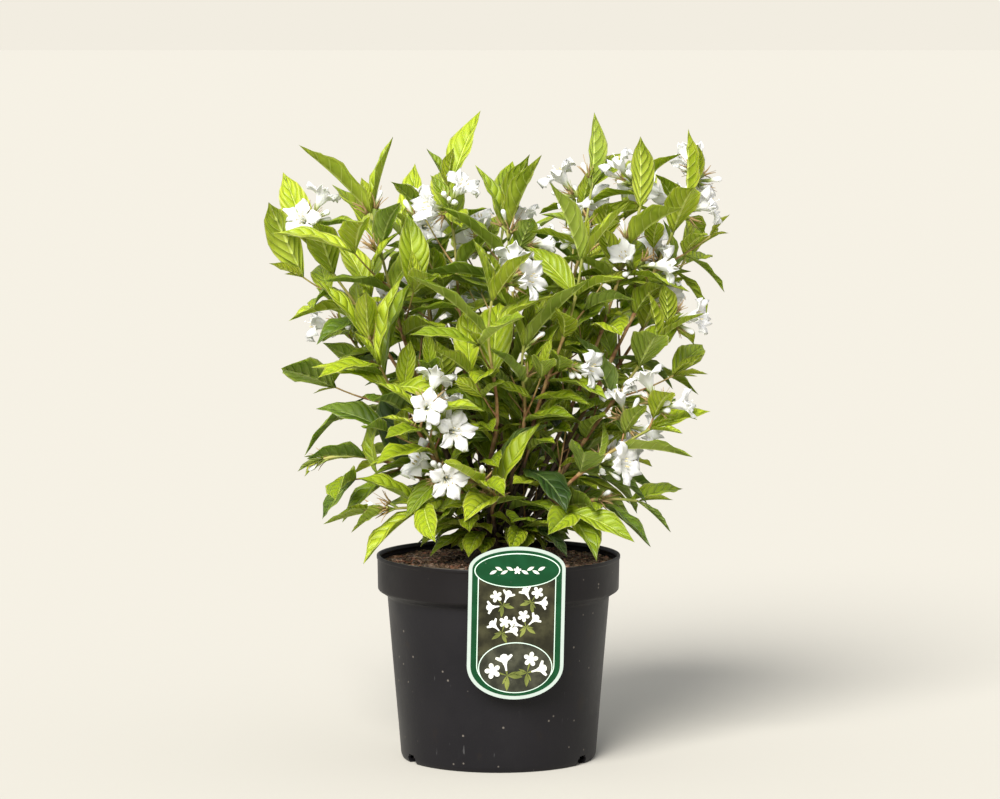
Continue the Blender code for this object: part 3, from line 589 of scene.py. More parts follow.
# %% [markdown]
# ## The pot's plastic
# Recycled black polypropylene is satin, not black: it has faint clouds of blue grey and brown grey, dried
# splashes of peat, pale specks of dust and a few scuffs where pots rubbed together. A picture wrapped
# round it would show a seam and its own grid, so each mark is noise in the pot's own coordinates.

# %% The pot's finish
PLASTIC = ((0.0048, 0.0043, 0.0060, 1), (0.0075, 0.0066, 0.0082, 1))
PLASTIC_BROWN = (0.0095, 0.0070, 0.0064, 1)
PLASTIC_RIM = (0.0036, 0.0022, 0.0024, 1)
DRIED_SPLASH = (0.024, 0.023, 0.024, 1)
SCUFF = (0.15, 0.15, 0.15, 1)
POT_DUST = (0.26, 0.23, 0.19, 1)


def pot_finish():
    """Dark recycled plastic with clouds, streaks, specks, scuffs and dust."""
    made, tree, shader = finish("pot_plastic", Specular_IOR_Level=0.25)
    clouds = use(tree, MOTTLE, First=PLASTIC[0], Second=PLASTIC[1], Scale=16.0, Low=0.38, High=0.66)
    brown = use(tree, MOTTLE, First=clouds.outputs[0], Second=PLASTIC_BROWN, Scale=55.0, Low=0.60, High=0.78)
    place = object_place(tree)
    rim_foot = POT_HEIGHT - RIM_DEPTH
    rim = soft_step(tree, parts(tree, place)[2], rim_foot - 0.004, rim_foot + 0.001)
    colour = blend(tree, times(tree, rim, 0.75), brown.outputs[0], PLASTIC_RIM)
    upright = add(tree, "ShaderNodeMapping", {"Vector": place, "Scale": (1.0, 1.0, 0.16)}).outputs[0]
    streaks = soft_step(tree, clouds_of(tree, upright, 120.0, 3.0), 0.62, 0.80)
    colour = blend(tree, times(tree, streaks, 0.22), colour, DRIED_SPLASH)
    tilted = add(tree, "ShaderNodeMapping", {
        "Vector": place, "Scale": (3.0, 3.0, 0.5), "Rotation": (0.3, 0.5, 0.2)}).outputs[0]
    scuffs = soft_step(tree, clouds_of(tree, tilted, 130.0, 2.0), 0.73, 0.80)
    colour = blend(tree, times(tree, scuffs, 0.3), colour, SCUFF)
    dusty = use(tree, DUST, Color=colour, Dust=POT_DUST, Settled=0.35, Specks=0.5, Scale=260.0)
    rough = scaled(tree, dusty.outputs[1], 0.3, scaled(tree, clouds.outputs[1], 0.12, 0.44))
    wear(tree, shader, dusty.outputs[0], rough, 900.0, 0.00012)
    return made


pot.data.materials.clear()
pot.data.materials.append(pot_finish())
hand_over(pot, "pot_plastic", "pot")

# %% [markdown]
# ## The soil
# Potting soil is a rough surface with crumbs of peat, chips of bark and bits of twig lying on it. A flat
# disc with a bumpy finish would look painted where it meets the pot, so the bed is a turned solid whose
# top is really pushed up and down by noise. The loose bits are scattered over that top by Geometry Nodes,
# each a small lump turned at random, because no two crumbs lie alike.

# %% The soil bed
SOIL_RELIEF = 0.0016
SOIL_STEPS = 90
SOIL_RINGS = 34
BROAD_WAVES = 45
CRUMB_WAVES = 190
CRUMB_SHARE = 0.6
FOOT_MOUND = 0.002
SOIL_KNEE = 0.6
SOIL_FALL = 0.3


def soil_height(x, y):
    """Height of the uneven soil at a place."""
    radius = math.hypot(x, y)
    knee = SOIL_KNEE * RIM_FOOT_RADIUS
    level = SOIL_EDGE + SOIL_CROWN * (1.0 - SOIL_FALL * min(radius / knee, 1.0))
    broad = noise.noise(Vector((x * BROAD_WAVES, y * BROAD_WAVES, 1.7)))
    fine = noise.noise(Vector((x * CRUMB_WAVES, y * CRUMB_WAVES, 4.1)))
    near_foot = max(0.0, 1.0 - radius / FOOT_FLARE)
    return level + SOIL_RELIEF * (broad + CRUMB_SHARE * fine) + FOOT_MOUND * near_foot


def make_soil():
    """The root ball with an uneven top."""
    rim_foot = POT_HEIGHT - RIM_DEPTH
    shoulder = rim_foot - SHOULDER_DROP
    inset = WALL + 2 * GAP + WALL_WOBBLE
    low = NOTCH_HEIGHT + GAP
    edge = RIM_FOOT_RADIUS - inset
    profile = [(edge * i / SOIL_RINGS, SOIL_EDGE + SOIL_CROWN) for i in range(SOIL_RINGS + 1)]
    profile += [
        (edge, rim_foot + WALL + GAP),
        (SHOULDER_RADIUS - inset, shoulder + WALL),
        (wall_radius(low) - inset, low),
        (BASE_RADIUS - NOTCH_DEPTH - inset, low),
        (BASE_RADIUS - NOTCH_DEPTH - inset, FLOOR + GAP),
        (0.0, FLOOR + GAP),
    ]
    soil = baked(turned("soil_bed", profile, SOIL_STEPS))
    for vertex in soil.data.vertices:
        if vertex.co.z > SOIL_EDGE - 0.001:
            vertex.co.z = soil_height(vertex.co.x, vertex.co.y)
    return soil


def soil_finish(name, dark, pale, warm):
    """Damp peat: dark crumbs, paler fibres and warm bits of bark."""
    made, tree, shader = finish(name, Specular_IOR_Level=0.25)
    first = use(tree, MOTTLE, First=dark, Second=pale, Scale=260.0, Low=0.42, High=0.66)
    second = use(tree, MOTTLE, First=first.outputs[0], Second=warm, Scale=110.0, Low=0.54, High=0.70)
    dusty = use(tree, DUST, Color=second.outputs[0], Dust=PALE_DUST, Settled=0.10, Specks=0.6, Scale=420.0)
    wear(tree, shader, dusty.outputs[0], scaled(tree, first.outputs[1], -0.25, 0.95), 700.0, 0.0012)
    return made


PEAT = ((0.036, 0.020, 0.011, 1), (0.270, 0.168, 0.092, 1), (0.330, 0.128, 0.066, 1))
PALE_DUST = (0.30, 0.26, 0.23, 1)
soil = make_soil()
soil.data.materials.append(soil_finish("peat", *PEAT))
hand_over(soil, "soil", "soil")

# %% Helpers that make and run Geometry Nodes trees
def nodes_tree(name, sockets):
    """An empty Geometry Nodes tree with named inputs; returns it with its input and output nodes."""
    made = bpy.data.node_groups.new(name, "GeometryNodeTree")
    made.interface.new_socket("Geometry", in_out="INPUT", socket_type="NodeSocketGeometry")
    for label, kind in sockets:
        made.interface.new_socket(label, in_out="INPUT", socket_type=kind)
    made.interface.new_socket("Geometry", in_out="OUTPUT", socket_type="NodeSocketGeometry")
    return made, made.nodes.new("NodeGroupInput"), made.nodes.new("NodeGroupOutput")


def run_tree(name, mesh, tree, values):
    """Runs a tree on a mesh with its inputs set by label, and returns an object with the plain result."""
    holder = make_object(name, mesh)
    modifier = holder.modifiers.new(name, "NODES")
    modifier.node_group = tree
    for item in tree.interface.items_tree:
        if item.in_out == "INPUT" and item.name in values:
            modifier[item.identifier] = values[item.name]
    return baked(holder)


def named(tree, name, kind=NUMBER_KIND):
    """The values of an attribute that the mesh carries."""
    return add(tree, "GeometryNodeInputNamedAttribute", {"Name": name}, data_type=kind).outputs[0]


print("helpers for Geometry Nodes: nodes_tree, run_tree, named")

# %% The tree that scatters crumbs, chips and bits of twig
OBJECT = "NodeSocketObject"
MATERIAL = "NodeSocketMaterial"
WHOLE = "NodeSocketInt"


def make_scatter():
    """A tree that lays copies of one lump on a surface, turned and sized at random."""
    tree, start, end = nodes_tree("scatter", [
        ("Lump", OBJECT), ("Density", NUMBER), ("Smallest", NUMBER), ("Largest", NUMBER),
        ("Tilt", NUMBER), ("Seed", WHOLE), ("Finish", MATERIAL),
    ])
    points = add(tree, "GeometryNodeDistributePointsOnFaces", {
        "Mesh": start.outputs["Geometry"], "Density": start.outputs["Density"],
        "Seed": start.outputs["Seed"],
    })
    tilt = start.outputs["Tilt"]
    back = times(tree, tilt, -1.0)
    low = add(tree, "ShaderNodeCombineXYZ", {0: back, 1: back, 2: 0.0})
    high = add(tree, "ShaderNodeCombineXYZ", {0: tilt, 1: tilt, 2: 2 * math.pi})
    turn = add(tree, "FunctionNodeRandomValue", {0: low.outputs[0], 1: high.outputs[0], "Seed": 11},
               data_type="FLOAT_VECTOR")
    size = add(tree, "FunctionNodeRandomValue", {
        2: start.outputs["Smallest"], 3: start.outputs["Largest"], "Seed": 12})
    lump = add(tree, "GeometryNodeObjectInfo", {"Object": start.outputs["Lump"]})
    copies = add(tree, "GeometryNodeInstanceOnPoints", {
        "Points": points.outputs[0], "Instance": lump.outputs["Geometry"],
        "Rotation": turn.outputs[0], "Scale": size.outputs[1]})
    real = add(tree, "GeometryNodeRealizeInstances", {0: copies.outputs[0]})
    last = add(tree, "GeometryNodeSetMaterial", {0: real.outputs[0], 2: start.outputs["Finish"]})
    connect(tree, last.outputs[0], end.inputs[0])
    return tree


SCATTER = make_scatter()
print("the scatter tree has", len(SCATTER.nodes), "nodes")

# %% The lumps and where they lie
DENTS = 3.1
DENT_DEPTH = 0.9


def lump_of(name, size, seed):
    """A small closed lump, one unit long, squeezed to the given proportions and dented by noise."""
    shape = bmesh.new()
    bmesh.ops.create_icosphere(shape, subdivisions=1, radius=0.5)
    for vertex in shape.verts:
        push = 1.0 + DENT_DEPTH * noise.noise(vertex.co * DENTS + Vector((seed, 0, 0)))
        vertex.co = Vector([a * b * push for a, b in zip(vertex.co, size)])
    return make_object(name, mesh_from(name, shape))


LITTER_DEPTH = 0.003
LITTER_SLOPE = 0.3
LITTER_MARGIN = 0.006


def soil_surface():
    """The open top of the soil where bits can lie, clear of the pot and of the foot."""
    faces = [p for p in soil.data.polygons
             if p.center.z > SOIL_EDGE - LITTER_DEPTH and p.normal.z > LITTER_SLOPE
             and FOOT_RADIUS < math.hypot(p.center.x, p.center.y) < RIM_FOOT_RADIUS - LITTER_MARGIN]
    used = sorted({v for p in faces for v in p.vertices})
    place = {v: i for i, v in enumerate(used)}
    verts = [soil.data.vertices[v].co for v in used]
    return mesh_of("soil_surface", verts, [[place[v] for v in p.vertices] for p in faces])


# Name, proportions, count to a square metre, smallest, largest, tilt, seed, dark, pale, warm
LITTER = (
    ("peat_crumbs", (1.0, 0.8, 0.7), 60000, 0.0012, 0.0038, 1.2, 3,
     (0.060, 0.036, 0.021, 1), (0.230, 0.150, 0.090, 1), (0.300, 0.130, 0.075, 1)),
    ("bark_chips", (1.0, 0.55, 0.22), 13000, 0.0045, 0.0095, 0.55, 5,
     (0.260, 0.125, 0.080, 1), (0.58, 0.38, 0.27, 1), (0.42, 0.180, 0.115, 1)),
    ("twig_bits", (1.0, 0.075, 0.07), 3800, 0.012, 0.026, 0.25, 8,
     (0.090, 0.060, 0.045, 1), (0.32, 0.25, 0.19, 1), (0.160, 0.100, 0.070, 1)),
)
for name, size, density, small, large, tilt, seed, dark, pale, warm in LITTER:
    lump = lump_of(name + "_lump", size, seed)
    litter = run_tree(name, soil_surface(), SCATTER, {
        "Lump": lump, "Density": float(density), "Smallest": small, "Largest": large,
        "Tilt": tilt, "Seed": seed, "Finish": soil_finish(name, dark, pale, warm)})
    bpy.data.objects.remove(lump, do_unlink=True)
    hand_over(litter, "soil", "soil")

# %% [markdown]
# ## The label
# A plant label is a printed card with a hook that hangs over the rim. Its border is bare white card, and
# inside it a green frame surrounds a dark picture panel with small white flowers. An image on a flat card
# would be quicker, but it blurs close up. Here each printed field is a very thin plate that stands a tenth
# of a millimetre proud, so that its edge stays sharp and it exists in the mesh as well. The motifs are
# open flowers, trumpets seen from the side and leaf sprays, laid out by a rule.

# %% Outlines of the label's fields
INK = 0.00012
BORDER = 0.0027
PANEL_SIDE = 0.0078
RULE_WIDTH = 0.0007
ARCH_POINTS = 28
ELLIPSE_POINTS = 48
PETALS = 5
PETAL_POINTS = 6
STAR_WAIST = 0.42
STAR_ROUNDNESS = 0.8
LEAFLET_POINTS = 6
TRUMPET_EDGE = (
    (0.0, 0.05), (0.34, 0.08), (0.60, 0.18), (0.74, 0.40), (0.90, 0.58), (1.02, 0.50), (0.92, 0.26),
    (1.06, 0.18), (1.12, 0.0)
)


def arch_outline(inset):
    """The label's outline, moved inwards: straight sides, a shallow arch above, a deeper one below."""
    half = LABEL_WIDTH / 2 - inset
    top = LABEL_RISE - LABEL_TOP_ARCH
    foot = LABEL_RISE - LABEL_HEIGHT + LABEL_FOOT_ARCH
    angles = [math.pi * i / ARCH_POINTS for i in range(ARCH_POINTS + 1)]
    above = [(half * math.cos(a), top + (LABEL_TOP_ARCH - inset) * math.sin(a)) for a in angles]
    below = [(-half * math.cos(a), foot - (LABEL_FOOT_ARCH - inset) * math.sin(a)) for a in angles]
    return above + below


def ellipse(x, y, wide, high):
    """The outline of an ellipse by its centre and half sizes."""
    angles = [2 * math.pi * i / ELLIPSE_POINTS for i in range(ELLIPSE_POINTS)]
    return [(x + wide * math.cos(a), y + high * math.sin(a)) for a in angles]


def placed(outline, x, y, turn):
    """An outline turned by an angle and moved to a place."""
    ahead, aside = math.cos(turn), math.sin(turn)
    return [(x + u * ahead - v * aside, y + u * aside + v * ahead) for u, v in outline]


def star(x, y, size, turn):
    """The outline of a plain flower with rounded petals."""
    points = []
    for i in range(PETALS * PETAL_POINTS):
        angle = 2 * math.pi * i / (PETALS * PETAL_POINTS)
        swell = abs(math.cos(PETALS * angle / 2)) ** STAR_ROUNDNESS
        radius = size * (STAR_WAIST + (1 - STAR_WAIST) * swell)
        points.append((radius * math.cos(angle), radius * math.sin(angle)))
    return placed(points, x, y, turn)


def trumpet(x, y, size, turn):
    """The outline of a flower seen from the side: a tube that flares into three lobes."""
    edge = TRUMPET_EDGE + tuple((u, -v) for u, v in TRUMPET_EDGE[-2::-1])
    return placed([(size * u, size * v) for u, v in edge], x, y, turn)


def leaflet(x, y, length, width, turn):
    """The outline of a small pointed leaf that starts at a place."""
    shares = [i / LEAFLET_POINTS for i in range(LEAFLET_POINTS + 1)]
    upper = [(length * u, width / 2 * math.sin(math.pi * u)) for u in shares]
    lower = [(u, -v) for u, v in upper[-2:0:-1]]
    return placed(upper + lower, x, y, turn)


SPRAY_FAN = 1.05
OPEN_FLOWER = 0.50
OPEN_REACH = 0.95
OPEN_STALK = 0.10
TRUMPET_SIZE = 0.95
TRUMPET_START = 0.3
TRUMPET_STALK = (0.5, 0.12)
# Leaves of a spray: length and width as shares of its size, bearing of the middle and off it to each side
SPRAY_LEAVES = ((0.95, 0.30, math.pi, 0.75), (0.62, 0.16, 0.0, 1.9))


def spray(x, y, size, turn, flowers):
    """A small spray: trumpets and an open flower round a point, with their stalks and four leaves."""
    white, green = [], []
    for i in range(flowers):
        angle = turn + (i - (flowers - 1) / 2) * SPRAY_FAN
        reach = size * (OPEN_REACH if i % 3 == 1 else TRUMPET_START)
        flower_x, flower_y = x + reach * math.cos(angle), y + reach * math.sin(angle)
        if i % 3 == 1:
            green.append(leaflet(x, y, reach, size * OPEN_STALK, angle))
            white.append(star(flower_x, flower_y, size * OPEN_FLOWER, angle * 2))
        else:
            green.append(leaflet(x, y, size * TRUMPET_STALK[0], size * TRUMPET_STALK[1], angle))
            white.append(trumpet(flower_x, flower_y, size * TRUMPET_SIZE, angle))
    for side in (-1, 1):
        for length, width, back, aside in SPRAY_LEAVES:
            green.append(leaflet(x, y, size * length, size * width, turn + back + side * aside))
    return white, green


print("outlines: arch, ellipse, star, trumpet, leaflet and spray")

# %% Plates, their place and their print
CARD_DUST = (0.35, 0.33, 0.30, 1)


def plate(name, outline, low, high):
    """A flat plate between two heights, with its outline in the label's own plane."""
    curve = bpy.data.curves.new(name, "CURVE")
    curve.dimensions = "2D"
    curve.fill_mode = "BOTH"
    curve.extrude = (high - low) / 2
    spline = curve.splines.new("POLY")
    spline.points.add(len(outline) - 1)
    for point, (x, y) in zip(spline.points, outline):
        point.co = (x, y, 0.0, 1.0)
    spline.use_cyclic_u = True
    made = bpy.data.objects.new(name, curve)
    bpy.context.scene.collection.objects.link(made)
    bpy.context.view_layer.update()
    mesh = bpy.data.meshes.new_from_object(made.evaluated_get(bpy.context.evaluated_depsgraph_get()))
    bpy.data.objects.remove(made, do_unlink=True)
    shape = bmesh.new()
    shape.from_mesh(mesh)
    bmesh.ops.remove_doubles(shape, verts=shape.verts, dist=0.000002)
    bmesh.ops.translate(shape, vec=(0.0, 0.0, (low + high) / 2), verts=shape.verts)
    shape.to_mesh(mesh)
    shape.free()
    return mesh


def joined(name, meshes):
    """One mesh of several."""
    shape = bmesh.new()
    for mesh in meshes:
        shape.from_mesh(mesh)
    return mesh_from(name, shape)


def label_place():
    """Where the label's own plane stands in the scene."""
    upright = Matrix.Rotation(math.pi / 2 + math.radians(LABEL_TILT), 4, "X")
    lean = Matrix.Rotation(math.radians(LABEL_TURN), 4, "Z")
    out = Matrix.Translation((0.0, -RIM_RADIUS - GAP - LABEL_THICKNESS / 2, POT_HEIGHT))
    return Matrix.Rotation(math.radians(LABEL_BEARING + 90.0), 4, "Z") @ out @ upright @ lean


def printed_finish(name, colour, other, roughness):
    """Ink on card: nearly even, with a faint cloud and the card's own grain."""
    made, tree, shader = finish(name, Specular_IOR_Level=0.22)
    clouds = use(tree, MOTTLE, First=colour, Second=other, Scale=95.0, Low=0.35, High=0.70)
    dusty = use(tree, DUST, Color=clouds.outputs[0], Dust=CARD_DUST, Settled=0.06, Specks=0.15, Scale=420.0)
    wear(tree, shader, dusty.outputs[0], scaled(tree, clouds.outputs[1], 0.08, roughness), 1500.0, 0.00003)
    return made


def label_piece(made, *print_colours):
    """Gives a piece of the label its print and hands it over."""
    made.data.materials.clear()
    made.data.materials.append(printed_finish(*print_colours))
    hand_over(made, "label_card", "label")


print("the label hangs at", [round(x, 4) for x in label_place().translation])

# %% The label's card and hook
CARD = ("card_white", (0.45, 0.52, 0.47, 1), (0.42, 0.49, 0.44, 1), 0.34)
CARD_EDGE = 0.00022
POT_FACETS = 40


def make_label():
    """The card with its hook, rounded at the edges."""
    thick = LABEL_THICKNESS
    card = make_object("label_card", plate("card", arch_outline(0.0), -thick / 2, thick / 2))
    card.data.transform(label_place())
    seat = POT_HEIGHT + GAP
    foot = POT_HEIGHT - HOOK_DROP
    facet = (RIM_RADIUS - WALL - LIP) * math.cos(math.pi / POT_FACETS)
    inner = math.sqrt(facet**2 - (HOOK_WIDTH / 2) ** 2) - GAP
    front = RIM_RADIUS + GAP + thick / 2
    profile = [(-front, seat), (-inner, seat), (-inner, foot), (-inner + thick, foot),
               (-inner + thick, seat + thick), (-front, seat + thick)]
    hook_mesh = plate("hook", profile, -HOOK_WIDTH / 2, HOOK_WIDTH / 2)
    hook_mesh.transform(Matrix.Rotation(math.radians(LABEL_BEARING + 90.0), 4, "Z")
                        @ Matrix.Rotation(math.pi / 2, 4, "Z") @ Matrix.Rotation(math.pi / 2, 4, "X"))
    hook = make_object("hook", hook_mesh)
    union = card.modifiers.new("hook", "BOOLEAN")
    union.operation = "UNION"
    union.object = hook
    soften = card.modifiers.new("edges", "BEVEL")
    soften.width = CARD_EDGE
    soften.segments = 2
    soften.limit_method = "ANGLE"
    baked(card)
    bpy.data.objects.remove(hook, do_unlink=True)
    return card


label_piece(make_label(), *CARD)

# %% The label's printed layers
INKS = {
    "green": ((0.0020, 0.046, 0.0125, 1), (0.0030, 0.060, 0.0180, 1), 0.33),
    "rule": ((0.62, 0.78, 0.66, 1), (0.70, 0.84, 0.74, 1), 0.33),
    "picture": ((0.016, 0.015, 0.007, 1), (0.050, 0.048, 0.022, 1), 0.36),
    "lit": ((0.022, 0.023, 0.015, 1), (0.062, 0.063, 0.040, 1), 0.36),
    "petal": ((0.84, 0.85, 0.80, 1), (0.72, 0.73, 0.62, 1), 0.36),
    "leaf": ((0.115, 0.135, 0.030, 1), (0.24, 0.27, 0.06, 1), 0.36),
}
HEAD = (0.0, LABEL_RISE - LABEL_TOP_ARCH - 0.0010, LABEL_WIDTH / 2 - 0.0042, 0.0132)
HEAD_RULE = 0.0008
FOOT_PANEL = (0.0, LABEL_RISE - LABEL_HEIGHT + LABEL_FOOT_ARCH - 0.0015,
              LABEL_WIDTH / 2 - PANEL_SIDE - BORDER / 2 + 0.0006, 0.0195)
# Sprays: place, size, bearing, number of flowers, and the coat of ink on which they lie
SPRAY_SIZE = 0.0094
SPRAYS = (
    (-0.0105, -0.0270, SPRAY_SIZE, 2.2, 3, 3),
    (0.0110, -0.0245, SPRAY_SIZE, 1.0, 3, 3),
    (0.0075, -0.0435, SPRAY_SIZE, 1.8, 3, 3),
    (-0.0110, -0.0480, SPRAY_SIZE, 1.3, 3, 3),
    (-0.006, FOOT_PANEL[1] - 0.006, 0.0125, 2.3, 2, 5),
    (0.009, FOOT_PANEL[1] - 0.004, 0.0115, 0.8, 2, 5),
)
SPRIG_LEAVES = 4
SPRIG_START = 0.003
SPRIG_STEP = 0.0042
SPRIG_LEAF = (0.0062, 0.0024)
SPRIG_TURN = 0.45
SPRIG_BUD = (0.0030, 0.3)


def inset(field, width):
    """An ellipse made smaller all round."""
    return (field[0], field[1], field[2] - width, field[3] - width)


def make_label_layers():
    """Each printed field as a list of plates, by the name of its ink."""
    layers = {ink: [] for ink in INKS}

    def printed(ink, outline, coat):
        low = LABEL_THICKNESS / 2 + coat * INK
        layers[ink].append(plate(ink, outline, low, low + INK))

    printed("green", arch_outline(BORDER), 0)
    printed("rule", arch_outline(PANEL_SIDE - RULE_WIDTH), 1)
    printed("picture", arch_outline(PANEL_SIDE), 2)
    printed("rule", ellipse(*HEAD), 3)
    printed("green", ellipse(*inset(HEAD, HEAD_RULE)), 4)
    printed("rule", ellipse(*FOOT_PANEL), 3)
    printed("lit", ellipse(*inset(FOOT_PANEL, RULE_WIDTH)), 4)
    for *laid_out, coat in SPRAYS:
        white, green = spray(*laid_out)
        for outline in green:
            printed("leaf", outline, coat)
        for outline in white:
            printed("petal", outline, coat + 1)
    for side in (-1, 1):
        for i in range(SPRIG_LEAVES):
            turn = (SPRIG_TURN if i % 2 else -SPRIG_TURN) + (math.pi if side < 0 else 0.0)
            x = side * (SPRIG_START + SPRIG_STEP * i)
            printed("petal", leaflet(x, HEAD[1], *SPRIG_LEAF, turn), 5)
    printed("petal", star(0.0, HEAD[1], *SPRIG_BUD), 5)
    return layers


for ink, plates in make_label_layers().items():
    layer = make_object("label_" + ink, joined("label_" + ink, plates))
    layer.data.transform(label_place())
    label_piece(layer, "ink_" + ink, *INKS[ink])

# %% [markdown]
# ## How the shrub grows
# Weigela has opposite leaves: at each node of a stem two leaves face each other, and each pair stands a
# quarter turn from the last. Short side twigs come out of the leaf axils, and clusters of blooms sit on
# the shorter ones. Leaves scattered over a rounded mass would fill the same room, but they would hang on
# nothing. The solids were grown by this rule from a table of stems. The same rule runs here with the same
# seeds, so every leaf lands on its solid, and the rule then goes on to finer twigs.

# %% The sizes of the growth
STEM_FOOT_RADIUS = 0.0024
STEM_LEAFY_RADIUS = 0.0018
STEM_TIP_RADIUS = 0.0009
STEM_SWAY = 0.004
SWAY_WAVES = 1.5
SWAY_EASE = 2.2
AXIS_STEPS = 60
OUTER_RING = 0.0150
MIDDLE_RING = 0.0096
INNER_RING = 0.0040
BOUGH_POINTS = 4
STEM_RINGS = 10
TWIG_SIDES = 3

# Leaves by their rank below the tip: length, width and fold, then how they stand off and droop
LEAF_LENGTHS = (0.076, 0.076, 0.074, 0.072, 0.069, 0.066)
LEAF_WIDTHS = (0.37, 0.40, 0.43, 0.45, 0.48, 0.50)
LEAF_FOLDS = (40.0, 33.0, 27.0, 23.0, 19.0, 16.0)
LEAF_ANGLES = (24.0, 38.0, 50.0, 57.0, 62.0, 66.0)
LEAF_DROOPS = (14.0, 26.0, 36.0, 42.0, 47.0, 50.0)
LEAF_THICKNESS_SHARE = 0.014
LEAF_ROOT_DEPTH = 0.0001
LEAF_MIDDLE = 0.42
LEAF_FULLEST = 0.75
LEAF_SLIMNESS = 1.15
LARGE_EDGE = (0.26, 0.64)
SMALL_EDGE = (0.40,)
FACE_UP = 0.8
FACE_AHEAD = 0.7
INTERNODES = (0.028, 0.034, 0.036, 0.037, 0.038)
FIRST_NODE = 0.006
LOWEST_NODE = 0.008

# How often a leaf, twig or bloom is tried, how loosely at first and by each try, and how it shrinks
TRIES = 9
LEAF_LOOSE = (6, 5)
TWIG_LOOSE = (0.10, 0.07)
BLOOM_LOOSE = (0.15, 0.10)
SHRINK = 0.04

# Side twigs in the leaf axils
AXIL_RISE = 0.004
AXIL_ANGLE = 42.0
AXIL_TWIG_LENGTH = 0.046
AXIL_TWIG_RADIUS = 0.0009
END_DEPTH = 0.001
TWIG_LIFT = 0.16
TWIG_TAPER = 0.18
END_RANK = 1
MIDDLE_RANK = 3
MIDDLE_SCALE = 0.88

# Blooms: a five-lobed trumpet, with shares of its length and of half its mouth
BLOOM_TWIG_LENGTH = 0.018
BLOOM_TWIG_ANGLE = 50.0
BLOOMS_EACH = 2
BLOOM_ANGLE = 34.0
BLOOM_ANGLE_STEP = 20.0
BLOOM_NOD = 0.10
BLOOM_STEP = 0.004
BLOOM_LENGTH = 0.030
BLOOM_MOUTH = 0.030
BLOOM_ROOT_RADIUS = 0.0012
LOBE_TIP = 0.94
LOBE_NOTCH = 0.86
NOTCH_RADIUS = 0.52
THROAT = 0.45
UNDER_RANK = 2
UNDER_SCALE = 0.66

# Room that the crown keeps to: its top, its radius by height, each mass's reach and the floor under it
CROWN_TOP = 0.514
CROWN_PROFILE = (
    (0.150, 0.140), (0.20, 0.150), (0.26, 0.168), (0.36, 0.176), (0.42, 0.181), (0.47, 0.172), (0.514, 0.150)
)
MASS_REACH = 0.080
REACH_SAMPLES = 12
FLOOR_INSIDE = SOIL_EDGE + 0.006
FLOOR_OUTSIDE = POT_HEIGHT + 0.002
FLOOR_RAMP = (0.040, 0.070)
LABEL_ROOM = 0.005
LABEL_FRONT = -0.076
print("room for the crown: up to", CROWN_TOP, "m high")

